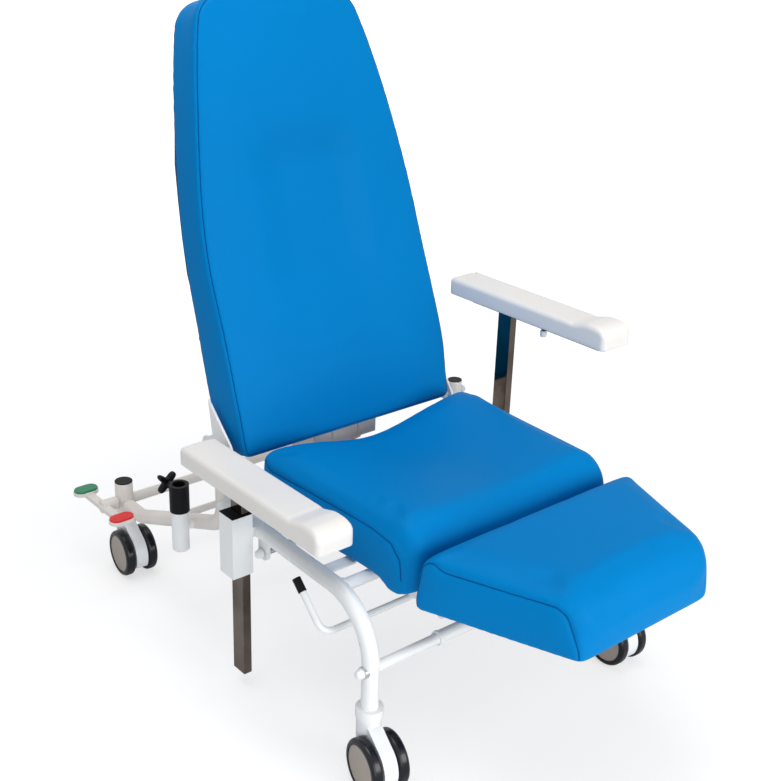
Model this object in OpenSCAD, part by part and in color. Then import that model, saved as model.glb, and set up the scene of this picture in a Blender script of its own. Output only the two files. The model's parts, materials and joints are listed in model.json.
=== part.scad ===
// Rest armchair on four casters, with a reclining back, a drop-down legrest and lifting armrests.
// Millimetres. X is across the chair, the sitter faces -Y, Z is up from the floor.
// The origin is on the floor, at the centre of the plan.

/* [Frame] */
// Outer diameter of the bent frame tubes
tube_d = 30; // [26:1:32]
// Wall of the frame tubes
tube_wall = 2; // [1.5:0.5:3]
// Front legs, ahead of the plan centre
leg_fwd = 320; // [310:1:330]
// How much wider the frame is at a front leg than at an upright, each side
rail_spread = 11; // [4:1:16]
// How much narrower the frame is at a rear housing than at an upright, each side
housing_draw = 5; // [0:1:8]
// Height of the side rails' centre line
rail_h = 326; // [320:1:340]
// Centre-line radius of the bend from leg to rail
leg_bend_r = 105; // [80:1:115]
// Height of the corner where an upright turns into the falling rear tube
upright_foot_h = 281; // [270:1:290]
// Height of the rear tubes' level run
low_run_h = 150; // [146:1:154]
// End of the fall of the rear tubes, behind the plan centre
fall_end = 460; // [430:1:470]
// Centre-line radius of the bends in the rear tubes
rear_bend_r = 60; // [50:1:65]
// Rear housings, behind the plan centre
housing_back = 536; // [530:1:545]
// Outer diameter of the rear housings
housing_d = 38; // [36:1:42]
// Height of the top of the rear housings
housing_top = 201; // [190:1:210]
// Wall of the rear housings
housing_wall = 2.5; // [2:0.5:3]
// Height of the uprights above the back's hinge
upright_rise = 25; // [22:1:30]
// Outer diameter of the collars at the front legs' feet
collar_d = 48; // [44:1:52]
// Height of those collars
collar_h = 17; // [12:1:22]
// Outer diameter of the front cross tube
front_tube_d = 19; // [16:1:20]
// Height of the front cross tube
front_tube_h = 215; // [205:1:219]
// Outer diameter of the sleeve on the front cross tube
sleeve_d = 24; // [23:1:28]
// Length of that sleeve
sleeve_l = 312; // [240:1:380]
// Outer diameter of the rear cross tube
rear_tube_d = 22; // [20:1:24]
// Outer diameter of the rear brace
brace_d = 15; // [12:1:18]
// Rear brace, behind the plan centre
brace_back = 334; // [310:1:350]
// Outer diameter of the tubes under the seat
seat_tube_d = 22; // [20:1:25]
// Front tube under the seat, ahead of the plan centre
seat_tube_fwd = 230; // [215:1:240]
// Rear tube under the seat, behind the plan centre
seat_tube_back = 20; // [10:1:30]

/* [Casters] */
// Diameter of the caster wheels
wheel_d = 100; // [96:1:104]
// Width of one wheel of a caster
wheel_w = 21; // [19:1:22]
// Width of a caster over both wheels
twin_w = 71; // [70:1:74]
// Diameter of the disc in a wheel
disc_d = 80; // [74:1:84]
// Height of a caster, from the floor to the frame
caster_h = 125; // [123:1:130]
// Trail of a caster, from its stem to its axle
trail = 32; // [28:1:34]
// Diameter of a caster's head
head_d = 42; // [38:1:44]

/* [Seat] */
// Width of the seat cushion at its rear corners
seat_w = 520; // [480:2:560]
// Width of the seat cushion at the front
seat_front_w = 480; // [460:2:490]
// Front of the seat cushion, ahead of the plan centre
seat_fwd = 348; // [344:1:352]
// Gap between the seat cushion's rear corners and the hinge line
seat_hinge_gap = 64; // [58:1:70]
// Thickness of the seat cushion at the rear
seat_t = 108; // [96:1:112]
// How much the top of the seat cushion falls to the front
seat_fall = 2; // [0:1:12]
// Thickness of the boards under the cushions
board_t = 8; // [6:1:9]
// Gap between the seat's rear corners and the uprights
side_gap = 15; // [14:1:20]

/* [Back] */
// Lean of the back from upright, in degrees
back_tilt = 18; // [15:1:20]
// Length of the back cushion along its face
back_l = 818; // [760:1:860]
// Thickness of the back cushion on its board
back_t = 76; // [66:1:82]
// Thickness of the back board
back_board_t = 12; // [9:1:15]
// Gap between the widest part of the back and the hinge plates
back_side_gap = 10; // [8:1:14]
// Back hinge, behind the plan centre
hinge_back = 133; // [128:1:138]
// Height of the back hinge above the side rails' centre line
hinge_rise = 81; // [78:1:86]
// Thickness of the steel plates
plate_t = 5; // [4:1:6]
// Diameter of the back's hinge bolts
pivot_d = 12; // [10:1:14]

/* [Legrest] */
// Length of the legrest cushion
legrest_l = 268; // [240:1:300]
// Width of the legrest cushion at the rear
legrest_rear_w = 498; // [460:2:510]
// Width of the legrest cushion at the front
legrest_front_w = 306; // [280:2:340]
// Thickness of the legrest cushion at the rear
legrest_rear_t = 98; // [88:1:104]
// Thickness of the legrest cushion at the front
legrest_front_t = 100; // [88:1:106]
// Gap between the seat cushion and the legrest cushion
legrest_gap = 16; // [14:1:20]

/* [Armrests] */
// Length of an armrest pad
pad_l = 419; // [380:1:440]
// Width of an armrest pad
pad_w = 76.5; // [70:0.5:80]
// Thickness of an armrest pad
pad_t = 35; // [28:1:40]
// Height of the lowered pad's underside above the side rails' centre line
pad_rise = 89; // [86:1:96]
// Travel of an armrest
arm_travel = 202.5; // [150:0.5:205]
// Thickness of a post, across the chair
post_t = 17; // [15:0.5:19]
// Depth of a post, along the chair
post_w = 35.5; // [32:0.5:38]
// Length of a post
post_l = 381.5; // [360:0.5:390]
// Outside of a sheath, across the chair
sheath_x = 43; // [40:1:46]
// Outside of a sheath, along the chair
sheath_y = 43; // [40:1:46]
// Length of a sheath
sheath_l = 121; // [110:1:125]
// Wall of a sheath
sheath_wall = 2; // [1.5:0.5:2.5]

/* [Pole socket] */
// Bore for the pole
pole_d = 25; // [20:1:26]
// Outer diameter of the black sleeve
socket_sleeve_d = 38; // [37:1:42]
// Length of the black sleeve above the white tube
socket_sleeve_l = 56; // [50:1:62]
// Outer diameter of the white tube
socket_d = 33; // [32:1:35]
// Length of the white tube
socket_l = 85; // [70:1:95]
// Pole's axis, behind the plan centre
pole_back = 225; // [215:1:235]
// Reach of the star knob's arms from its axis
knob_r = 22; // [18:1:26]

/* [Controls] */
// Diameter of the release lever's rod
lever_d = 12; // [10:1:13]
// Length of the release lever's handle
lever_handle = 102; // [80:1:106]
// Slope of the handle, in degrees
lever_slope = 43; // [30:1:50]
// Reach of the brake pedals, from the shaft to the middle of a pad
pedal_reach = 79; // [70:1:90]
// Length of a pedal's pad, across the chair
pedal_l = 55; // [48:1:60]
// Width of a pedal's pad, along the chair
pedal_w = 34; // [28:1:38]
// Height of the brake shaft
shaft_h = 156; // [154:1:160]
// Width of the hexagonal brake shaft across its corners
shaft_d = 12.7; // [11:0.1:14]

/* [Hidden] */
$fn = 64;
// Clearances: pressed or welded parts, running bores, flat neighbours on different bodies
fit_gap = 0.1;
run_gap = 0.05;
side_play = 0.5;
soft_gap = 0.3;
// Overrun of cuts
over = 1;
// Steps of swept bars, in degrees and in sides, and of the corners and faces of the soft forms
bend_step = 10;
bar_sides = 32;
corner_steps = 4;
face_steps = 8;
foot_steps = 2;
// Largest edge radius of a soft form as a share of its thickness, and its lower edge as a share of the upper
edge_limit_share = 0.6;
low_edge_share = 0.3;

// Frame places, on the right-hand side; the left is its mirror image
tube_r = tube_d / 2;
bore_r = tube_r - tube_wall;
upright_x = seat_w / 2 + side_gap + tube_r;
leg_x = upright_x + rail_spread;
housing_x = upright_x - housing_draw;
rail_run = norm([rail_spread, leg_fwd + hinge_back]);
rail_toe = atan2(rail_spread, leg_fwd + hinge_back);
rear_run = norm([housing_draw, housing_back - hinge_back]);
rear_toe = atan2(housing_draw, housing_back - hinge_back);
fall_slope = atan2(upright_foot_h - low_run_h, fall_end - hinge_back);
hinge_h = rail_h + hinge_rise;
upright_top = hinge_h + upright_rise;
housing_r = housing_d / 2;
plug_t = 2;
plug_depth = 12;
sleeve_lip_t = 6;
seat_tab_w = 24;
seat_tab_t = 4;
seat_tab_l = 40;
seat_tab_in = 46;
stem_d = 12;
stem_plug_h = 20;
ring_t = 1.5;
thread_d = 10;
washer_d = 22;
washer_t = 2.5;
bolt_head_d = 13;
bolt_head_h = 6;
cap_d = 17;
cap_h = 14;
cap_straight_share = 0.7;
cap_tip_share = 0.6;
frame_bolt_grip = 40;
pivot_head_t = 5;
pivot_head_d = 19;

function rail_x(y) = upright_x + rail_spread * (hinge_back - y) / (hinge_back + leg_fwd);
function rear_x(y) = upright_x - housing_draw * (y - hinge_back) / (housing_back - hinge_back);
function fall_z(y) = upright_foot_h - (y - hinge_back) * tan(fall_slope);

// Seat
seat_tube_r = seat_tube_d / 2;
seat_board_z = rail_h + seat_tube_r;
seat_low = seat_board_z + board_t;
seat_rear = hinge_back - seat_hinge_gap;
seat_l = seat_rear + seat_fwd;
seat_lip = 63;
seat_lip_drop = 25;
lip_blend = 3;
lip_setback = 20;
seat_nose_share = 0.7;
seat_bow = 4;
side_draw = 3;
seat_edge_r = 26;
seat_nose_r = 80;
seat_lip_r = 29;
seat_rear_r = 44;
seat_rear_share = 0.55;
seat_hollow = 6;
seat_dish = 18;
seat_blend_share = 0.3;
seat_rings = 34;
board_inset = 22;

// Back, in its own frame: z' up the face, y' into the cushion
face_fwd = 19;
face_up = 15;
plate_gap = 2;
plate_x = upright_x - tube_r - plate_gap - plate_t;
back_half = plate_x - back_side_gap;
back_edge_r = 13;
back_top_r = 31;
back_foot_r = 15;
back_corner_r = 60;
back_crown = 6;
panel_half = 115;
panel_depth = 3;
panel_fade = 28;
panel_low_share = 0.29;
panel_high_share = 0.67;
// Half width of the back along its length, as shares of its widest half width
back_width_shares = [[0, 0.973], [0.12, 0.957], [0.28, 0.977], [0.43, 1], [0.575, 0.957],
    [0.667, 0.926], [0.795, 0.833], [0.918, 0.725], [1, 0.64]];
back_rings = 36;
back_blend_share = 0.03;
back_board_edge = 6;
back_board_steps = 12;
back_tube_d = 22;
back_tube_s = 20;
back_tube_n = back_t + back_board_t + back_tube_d / 2;
tube_y = hinge_back - face_fwd + back_tube_s * sin(back_tilt) + back_tube_n * cos(back_tilt);
tube_z = hinge_h + face_up + back_tube_s * cos(back_tilt) - back_tube_n * sin(back_tilt);
spine_w = 60;
spine_t = 20;
spine_l_share = 0.76;
strap_w = 40;
strap_l = 300;
strap_t = 5;
strap_shares = [0.3, 0.68];
// Hinge plate: reach behind and above the hinge, and its outline as shares of these
plate_reach = 74;
plate_rise = 98;
plate_boss_r = 16;
plate_shares = [[-0.2, 0.06], [0.04, 0.31], [1, 1], [0.82, 0.31]];
plate_heel_y = 13;
plate_heel_z = 8;
// Yoke of the gas spring, welded under the back's cross tube
yoke_half = 77;
yoke_plate_x = 30;
web_h = 32;
web_drop = 35;
web_back = 3;
web_step = 5;
web_y = hinge_back + web_back;
web_z = hinge_h - web_drop;
// The yoke's plates pass this far under the back's lower rear corner
yoke_gap = 3;
corner_y = hinge_back - face_fwd + (back_t + back_board_t) * cos(back_tilt);
corner_z = hinge_h + face_up - (back_t + back_board_t) * sin(back_tilt);

// Gas spring: its two eyes lie as far behind and ahead of the hinge
anchor_y = -5;
anchor_drop = 41;
anchor_z = rail_h - anchor_drop;
yoke_y = 2 * hinge_back - anchor_y;
anchor_d = 14;
yoke_pin_d = 10;
eye_r = 12;
eye_w = 14;
eye_slot = 4;
spring_l = yoke_y - anchor_y;
cylinder_d = 28;
cylinder_bore = 22;
cylinder_end_share = 0.53;
cylinder_end = spring_l * cylinder_end_share;
cylinder_start = 16;
cylinder_cap = 4;
rod_d = 10;
piston_t = 8;
yoke_lug_r = 14;
anchor_lug_w = 30;
anchor_lug_t = 6;
anchor_reach = rail_x(anchor_y) + anchor_lug_t / 2 + washer_t + bolt_head_h;

// Legrest
arm_strip_h = 24;
arm_strip_t = 5;
arm_strip_x = 180;
pin_d = 10;
pivot_fwd = 14;
pivot_y = -(seat_fwd + pivot_fwd);
pivot_z = rail_h - seat_tube_r + over - arm_strip_h / 2;
legrest_rear = -(seat_fwd + legrest_gap);
legrest_low = rail_h + tube_wall + tube_r;
legrest_fall = 8;
legrest_pitch = atan(legrest_fall / legrest_l);
legrest_lean = 19;
legrest_edge_r = 20;
legrest_rear_r = 36;
legrest_top_r = 22;
legrest_front_r = 80;
legrest_bow = 6;
legrest_blend_share = 0.5;
legrest_rings = 26;
legrest_board_inset = 24;
bar_x = arm_strip_x + arm_strip_t + side_play;
bar_l_share = 0.35;
bar_t = 6;
bar_h = 20;

// Armrests
sheath_y0 = 4;
saddle = 4;
saddle_h = 20;
sheath_rise = 39;
sheath_top = rail_h + sheath_rise;
sheath_in = rail_x(sheath_y0 + sheath_y / 2) + tube_r + saddle;
liner = 1.5;
guide_flange = 2;
post_x = sheath_in + sheath_wall + liner + soft_gap + post_t / 2;
post_y = sheath_y0 + sheath_y / 2;
pad_out = 2;
pad_x = post_x + pad_out;
pad_low = rail_h + pad_rise;
pad_rear = 162.5;
arm_plate_t = 4;
arm_plate_w = 58;
arm_plate_inset = 20;
arm_plate_back = 100;
pad_edge_r = 11;
pad_hump = 5;
pad_hump_at = 42;
pad_hump_l = 46;
pad_nose_r = 24;
pad_nose_share = 0.8;
pad_bulge = 0.5;
pad_rings = 24;
// Pocket under the left pad, over the top of the upright and its bolt cap
pocket_gap = 2;
stud_d = 9;
stud_h = 19;
stud_y = -87;
stud_in = 15;

// Pole socket
pole_gap = 10;
pole_x = rear_x(pole_back) + tube_r + pole_gap + socket_d / 2;
socket_wall = 2.5;
socket_rise = 38;
socket_top = fall_z(pole_back) + socket_rise;
socket_low = socket_top - socket_l;
stub_d = 16;
spigot_l = 30;
stud_rise_share = 0.73;
knob_t = 14;
knob_y = 38;
knob_arm_w = 9;
knob_hub_r = 11;
knob_stud_d = 8;

// Release lever, hung from the front tube under the seat
lever_drop = 68;
lever_fwd = 13;
lever_y = -(seat_tube_fwd + lever_fwd);
lever_z = rail_h - lever_drop;
lever_bend_r = 22;
lever_side = 25;
lever_x = leg_x + tube_r + lever_side;
lever_inner = 40;
lever_lug_x = [50, 120];
lever_lug_w = 22;
grip_d = 15;
grip_l = 26;
grip_wall = 1.5;

// Brake
hub_d = 28;
hub_in = 18;
hub_l = 36;
rocker_in = 4;
rocker_x = housing_x + hub_in + hub_l - rocker_in;
hub_end = housing_x + housing_r + side_play;
rocker_w = 18;
rocker_t = 10;
pad_plate_t = 8;
pad_cap_t = 4.5;
pad_cap_inset = 1.5;
pedal_lift = 4;
shaft_play = 0.6;

// Casters: place of the stem and how far the caster has turned, in degrees
caster_names = ["front_left", "front_right", "rear_left", "rear_right"];
caster_x = [-leg_x, leg_x, -housing_x, housing_x];
caster_y = [-leg_fwd, -leg_fwd, housing_back, housing_back];
caster_turn = [-9, -3, -4, 0];
wheel_r = wheel_d / 2;
wheel_mid = (twin_w - wheel_w) / 2;
body_play = 1.5;
body_w = twin_w - 2 * wheel_w - 2 * body_play;
hood_gap = 4;
hood_r = wheel_r - hood_gap;
hood_shoulder_shares = [-0.5, 0.85];
head_sink = 8;
lip_h = 25;
neck_h = 24;
axle_d = 10;
hub_r = 11;
disc_dip = 3;
disc_rim_t = 5;
disc_web_t = 4;
disc_face_t = 3;
tread_r = 7;

// Helpers

// Mirror image for the left-hand side
module on_side(side) {
    if (side < 0) mirror([1, 0, 0]) children();
    else children();
}

module on_both_sides() {
    on_side(1) children();
    on_side(-1) children();
}

// Cylinder along X from x0 to x1
module rod_x(r, x0, x1) {
    translate([x0, 0, 0]) rotate([0, 90, 0]) cylinder(r = r, h = x1 - x0);
}

// Cylinder along Y from y0 to y1
module rod_y(r, y0, y1) {
    translate([0, y0, 0]) rotate([-90, 0, 0]) cylinder(r = r, h = y1 - y0);
}

// Plate parallel to the YZ plane: the outline's x is Y and its y is Z
module yz_plate(x0, t) {
    translate([x0, 0, 0]) rotate([90, 0, 90]) linear_extrude(t) children();
}

// Rounded bar outline of two half circles
module stadium(l, w) {
    square([l - w, w], center = true);
    for (s = [-1, 1]) translate([s * (l - w) / 2, 0]) circle(d = w);
}

function seg_angle(p, q) = atan2(q[1] - p[1], q[0] - p[0]);

// Stations of a bent bar through the corners pts in the YZ plane: place, then direction of travel
function bar_cut(pts, i, bend_r) =
    bend_r * tan(abs(seg_angle(pts[i], pts[i + 1]) - seg_angle(pts[i - 1], pts[i])) / 2);
function bar_bend(pts, i, bend_r) =
    let (a = seg_angle(pts[i - 1], pts[i]),
        turn = seg_angle(pts[i], pts[i + 1]) - a,
        start = pts[i] - bar_cut(pts, i, bend_r) * [cos(a), sin(a)],
        centre = start + sign(turn) * bend_r * [-sin(a), cos(a)],
        steps = ceil(abs(turn) / bend_step))
    [for (k = [0:steps]) let (b = a + turn * k / steps)
        [centre - sign(turn) * bend_r * [-sin(b), cos(b)], b]];
function bar_stations(pts, bend_r) =
    let (last = len(pts) - 1)
    concat([[pts[0], seg_angle(pts[0], pts[1])]],
        [for (i = [1:last - 1]) for (st = bar_bend(pts, i, bend_r)) st],
        [[pts[last], seg_angle(pts[last - 1], pts[last])]]);

// Bent round bar in the YZ plane, swept as one closed skin
module bent_bar(pts, bend_r, r) {
    skin([for (st = bar_stations(pts, bend_r)) [for (k = [0:bar_sides - 1]) let (a = 360 * k / bar_sides)
        [r * cos(a), st[0][0] - r * sin(a) * sin(st[1]), st[0][1] + r * sin(a) * cos(st[1])]]]);
}

// Soft forms: each is a list of rings that share one count of points

function arc(cx, cy, r, from, to, steps) =
    [for (i = [0:steps]) let (a = from + (to - from) * i / steps) [cx + r * cos(a), cy + r * sin(a)]];

// Section of a cushion: half width, underside, top, radius of the upper edges, sides drawn in
function section(half, low, high, edge_r, draw) =
    let (rt = min(edge_r, edge_limit_share * (high - low)),
        rl = low_edge_share * edge_r,
        side = (high - rt + low + rl) / 2)
    concat(arc(half - rt, high - rt, rt, 0, 90, corner_steps),
        [for (i = [1:face_steps - 1]) [(half - rt) * (1 - 2 * i / face_steps), high]],
        arc(rt - half, high - rt, rt, 90, 180, corner_steps),
        [[draw - half, side]],
        arc(rl - half, low + rl, rl, 180, 270, foot_steps),
        arc(half - rl, low + rl, rl, 270, 360, foot_steps),
        [[half - draw, side]]);

// Stations along a cushion, closer together at its ends
function station(i, count) = (1 - cos(180 * i / (count - 1))) / 2;
// How far a surface has dropped at distance e from a rounded end of radius r
function round_in(e, r) = e >= r ? 0 : r - sqrt(r * r - (r - e) * (r - e));
// Smooth step from 0 at a to 1 at b
function ease(x, a, b) = let (t = min(max((x - a) / (b - a), 0), 1)) t * t * (3 - 2 * t);
// How far a face stands out across its width: 1 in the middle, 0 at the sides
function arch(x, half) = 1 - (x / half) * (x / half);
// 1 on the top face of a section, 0 on its underside
function top_share(v, low, high) = min(max((v - (low + high) / 2) / ((high - low) / 2), 0), 1);

// Triangles of a closed sweep of count rings of n points, whose ends' middle points come last
function sweep_faces(n, count) = concat(
    [for (i = [0:count - 2]) for (j = [0:n - 1]) [i * n + j, i * n + (j + 1) % n, (i + 1) * n + j]],
    [for (i = [0:count - 2]) for (j = [0:n - 1])
        [i * n + (j + 1) % n, (i + 1) * n + (j + 1) % n, (i + 1) * n + j]],
    [for (j = [0:n - 1]) [count * n, (j + 1) % n, j]],
    [for (j = [0:n - 1]) [count * n + 1, (count - 1) * n + j, (count - 1) * n + (j + 1) % n]]);
function middle(ring) = [for (p = ring) 1 / len(ring)] * ring;

// Closed skin over a list of rings
module skin(rings) {
    count = len(rings);
    points = concat([for (ring = rings) each ring], [middle(rings[0]), middle(rings[count - 1])]);
    polyhedron(points, sweep_faces(len(rings[0]), count));
}

// Back frame's local place
module back_place() {
    translate([0, hinge_back - face_fwd, hinge_h + face_up]) rotate([-back_tilt, 0, 0]) children();
}

// Frame

rear_pts = [[0, upright_top], [0, upright_foot_h],
    [rear_run * (fall_end - hinge_back) / (housing_back - hinge_back), low_run_h], [rear_run, low_run_h]];

// Front leg and side rail: upright, a quarter bend, then level
module rail_form(r) {
    translate([leg_x, -leg_fwd, 0]) rotate([0, 0, rail_toe]) {
        translate([0, 0, caster_h]) cylinder(r = r, h = rail_h - leg_bend_r - caster_h);
        translate([0, leg_bend_r, rail_h - leg_bend_r]) rotate([90, 0, -90])
            rotate_extrude(angle = 90) translate([leg_bend_r, 0]) circle(r = r);
        translate([0, 0, rail_h]) rod_y(r, leg_bend_r, rail_run);
    }
}

// Upright and rear tube
module rear_form(r) {
    translate([upright_x, hinge_back, 0]) rotate([0, 0, rear_toe]) bent_bar(rear_pts, rear_bend_r, r);
}

// Straight cores of the same tube, for what is welded to its sides
module upright_core() {
    translate([upright_x, hinge_back, 0]) cylinder(r = tube_r, h = upright_top);
}

module fall_core() {
    translate([upright_x, hinge_back, upright_foot_h]) rotate([0, 0, rear_toe]) rotate([-fall_slope, 0, 0])
        rod_y(tube_r, 0, rear_run);
}

module housing_form(r) {
    translate([housing_x, housing_back, caster_h]) cylinder(r = r, h = housing_top - caster_h);
}

module side_rail() {
    difference() {
        union() {
            rail_form(tube_r);
            translate([leg_x, -leg_fwd, caster_h]) cylinder(d = collar_d, h = collar_h);
        }
        rail_form(bore_r);
        upright_core();
        translate([leg_x, -leg_fwd, front_tube_h]) rod_x(thread_d / 2 + fit_gap, -tube_d, tube_d);
    }
}

module side_rail_left() { color("white") on_side(-1) side_rail(); }
module side_rail_right() { color("white") on_side(1) side_rail(); }

module rear_leg() {
    difference() {
        union() {
            difference() {
                rear_form(tube_r);
                rear_form(bore_r);
            }
            housing_form(housing_r);
        }
        translate([housing_x, housing_back, caster_h - over])
            cylinder(r = housing_r - housing_wall, h = housing_top - caster_h + 2 * over);
        translate([upright_x, hinge_back, hinge_h]) rod_x(pivot_d / 2 + fit_gap, -tube_d, tube_d);
        translate([housing_x, housing_back, shaft_h]) rod_x(shaft_d / 2 + shaft_play, -housing_d, housing_d);
    }
}

module rear_leg_left() { color("white") on_side(-1) rear_leg(); }
module rear_leg_right() { color("white") on_side(1) rear_leg(); }

module front_cross_tube() {
    color("white") difference() {
        translate([0, -leg_fwd, front_tube_h]) rod_x(front_tube_d / 2, -leg_x, leg_x);
        translate([0, -leg_fwd, front_tube_h]) rod_x(thread_d / 2, -leg_x - over, leg_x + over);
        on_both_sides() rail_form(tube_r);
    }
}

module cross_tube_sleeve() {
    color("white") translate([0, -leg_fwd, front_tube_h]) difference() {
        union() {
            rod_x(sleeve_d / 2, -sleeve_l / 2, sleeve_l / 2);
            for (x = [-sleeve_l / 2, sleeve_l / 2 - sleeve_lip_t])
                rod_x(sleeve_d / 2 + ring_t, x, x + sleeve_lip_t);
        }
        rod_x(front_tube_d / 2 + fit_gap, -sleeve_l, sleeve_l);
    }
}

module rear_cross_tube() {
    color("white") difference() {
        translate([0, housing_back, shaft_h]) rod_x(rear_tube_d / 2, -housing_x, housing_x);
        translate([0, housing_back, shaft_h]) rod_x(rear_tube_d / 2 - tube_wall, -housing_x, housing_x);
        on_both_sides() housing_form(housing_r);
    }
}

module rear_brace() {
    color("white") difference() {
        translate([0, brace_back, fall_z(brace_back)]) rod_x(brace_d / 2, -upright_x, upright_x);
        on_both_sides() fall_core();
    }
}

module seat_cross_tubes() {
    color("white") difference() {
        for (y = [-seat_tube_fwd, seat_tube_back])
            translate([0, y, rail_h]) difference() {
                rod_x(seat_tube_r, -leg_x, leg_x);
                rod_x(seat_tube_r - tube_wall, -leg_x, leg_x);
            }
        on_both_sides() rail_form(tube_r);
    }
}

// Strips that carry the legrest, tabs under the seat board, lugs of the lever and of the spring's anchor
module frame_brackets() {
    color("white") {
        on_both_sides() legrest_strip();
        on_both_sides() for (y = [-seat_tube_fwd + seat_tab_in, seat_tube_back - seat_tab_in]) seat_tab(y);
        for (x = lever_lug_x) lever_lug(-x);
        on_both_sides() anchor_lug();
    }
}

module legrest_strip() {
    difference() {
        yz_plate(arm_strip_x, arm_strip_t) {
            translate([pivot_y, pivot_z]) circle(d = arm_strip_h);
            translate([pivot_y, pivot_z - arm_strip_h / 2])
                square([-pivot_y - seat_tube_fwd + seat_tube_d, arm_strip_h]);
        }
        translate([0, -seat_tube_fwd, rail_h]) rod_x(seat_tube_r, 0, leg_x);
        translate([0, pivot_y, pivot_z]) rod_x(pin_d / 2 + run_gap, 0, leg_x);
    }
}

module seat_tab(y) {
    difference() {
        translate([upright_x - tube_r - seat_tab_l, y - seat_tab_w / 2, seat_board_z - seat_tab_t])
            cube([seat_tab_l + tube_r, seat_tab_w, seat_tab_t]);
        rail_form(tube_r);
    }
}

module lever_lug(x) {
    difference() {
        yz_plate(x, arm_strip_t) {
            translate([lever_y, lever_z]) circle(d = lever_lug_w);
            polygon([[lever_y - lever_lug_w / 2, lever_z], [lever_y + lever_lug_w / 2, lever_z],
                [-seat_tube_fwd + seat_tube_r, rail_h], [-seat_tube_fwd - seat_tube_r, rail_h]]);
        }
        translate([0, -seat_tube_fwd, rail_h]) rod_x(seat_tube_r, -leg_x, leg_x);
        translate([0, lever_y, lever_z]) rod_x(lever_d / 2 + run_gap, -leg_x, leg_x);
    }
}

module anchor_lug() {
    difference() {
        yz_plate(rail_x(anchor_y) - anchor_lug_t / 2, anchor_lug_t) {
            translate([anchor_y, anchor_z]) circle(d = anchor_lug_w);
            translate([anchor_y - anchor_lug_w / 2, anchor_z]) square([anchor_lug_w, anchor_drop]);
        }
        rail_form(tube_r);
        translate([0, anchor_y, anchor_z]) rod_x(anchor_d / 2 + fit_gap, 0, leg_x);
    }
}

module spring_anchor() {
    color("silver") translate([0, anchor_y, anchor_z]) rod_x(anchor_d / 2, -anchor_reach, anchor_reach);
}

// Armrest sheath on a saddle that is welded to the rail
module arm_sheath() {
    difference() {
        union() {
            translate([sheath_in, sheath_y0, sheath_top - sheath_l]) cube([sheath_x, sheath_y, sheath_l]);
            translate([sheath_in - tube_r, sheath_y0 + sheath_wall, rail_h - saddle_h / 2])
                cube([tube_r + sheath_wall, sheath_y - 2 * sheath_wall, saddle_h]);
        }
        translate([sheath_in + sheath_wall, sheath_y0 + sheath_wall, sheath_top - sheath_l - over])
            cube([sheath_x - 2 * sheath_wall, sheath_y - 2 * sheath_wall, sheath_l + 2 * over]);
        rail_form(tube_r);
    }
}

module arm_sheaths() { color("white") on_both_sides() arm_sheath(); }

module post_guide() {
    inner_x = sheath_x - 2 * sheath_wall - 2 * fit_gap;
    inner_y = sheath_y - 2 * sheath_wall - 2 * fit_gap;
    low = sheath_top - sheath_l;
    difference() {
        union() {
            translate([sheath_in + sheath_wall + fit_gap, sheath_y0 + sheath_wall + fit_gap, low])
                cube([inner_x, inner_y, sheath_l]);
            translate([sheath_in + fit_gap, sheath_y0 + fit_gap, sheath_top])
                cube([sheath_x - 2 * fit_gap, sheath_y - 2 * fit_gap, guide_flange]);
        }
        translate([post_x - post_t / 2 - soft_gap, post_y - post_w / 2 - soft_gap, low - over])
            cube([post_t + 2 * soft_gap, post_w + 2 * soft_gap, sheath_l + guide_flange + 2 * over]);
    }
}

module post_guides() { color("#202020") on_both_sides() post_guide(); }

// Plug in an open tube end
module tube_plug(r, wall) {
    cylinder(r = r, h = plug_t);
    translate([0, 0, -plug_depth]) cylinder(r = r - wall - fit_gap, h = plug_depth + plug_t);
}

module tube_plugs() {
    color("#202020") on_both_sides() {
        translate([upright_x, hinge_back, upright_top]) tube_plug(tube_r, tube_wall);
        translate([housing_x, housing_back, housing_top]) tube_plug(housing_r, housing_wall);
    }
}

// Caster stem: a plug in the tube, a ring under it and the pin that the caster turns on
module caster_stem(plug_r) {
    translate([0, 0, caster_h]) cylinder(r = plug_r, h = stem_plug_h);
    translate([0, 0, caster_h - ring_t]) cylinder(d = head_d, h = ring_t);
    translate([0, 0, caster_h - neck_h]) cylinder(d = stem_d, h = neck_h);
}

module caster_stems() {
    color("dimgray") on_both_sides() {
        translate([leg_x, -leg_fwd, 0]) caster_stem(bore_r - fit_gap);
        translate([housing_x, housing_back, 0]) caster_stem(housing_r - housing_wall - fit_gap);
    }
}

// Bolts that hold the front cross tube, with a washer outside the leg
module frame_bolts() {
    color("gray") on_both_sides() translate([leg_x, -leg_fwd, front_tube_h]) {
        rod_x(thread_d / 2 - fit_gap, -frame_bolt_grip, tube_r);
        difference() {
            rod_x(washer_d / 2, 0, tube_r + washer_t);
            cylinder(r = tube_r, h = 2 * washer_d, center = true);
        }
        rod_x(bolt_head_d / 2, tube_r, tube_r + washer_t + bolt_head_h);
    }
}

// Hollow plastic cap over a bolt end, open towards -X
module bolt_cap(end_d) {
    difference() {
        union() {
            rod_x(cap_d / 2, 0, cap_h * cap_straight_share);
            translate([cap_h * cap_straight_share, 0, 0]) rotate([0, 90, 0])
                cylinder(d1 = cap_d, d2 = cap_d * cap_tip_share, h = cap_h * (1 - cap_straight_share));
        }
        rod_x(end_d / 2 + fit_gap, -over, bolt_head_h + fit_gap);
    }
}

module bolt_caps() {
    color("white") on_both_sides() {
        translate([leg_x + tube_r + washer_t, -leg_fwd, front_tube_h]) bolt_cap(bolt_head_d);
        translate([rail_x(anchor_y) + anchor_lug_t / 2 + washer_t, anchor_y, anchor_z]) bolt_cap(anchor_d);
        translate([upright_x + tube_r, hinge_back, hinge_h]) bolt_cap(pivot_d);
    }
}

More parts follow.
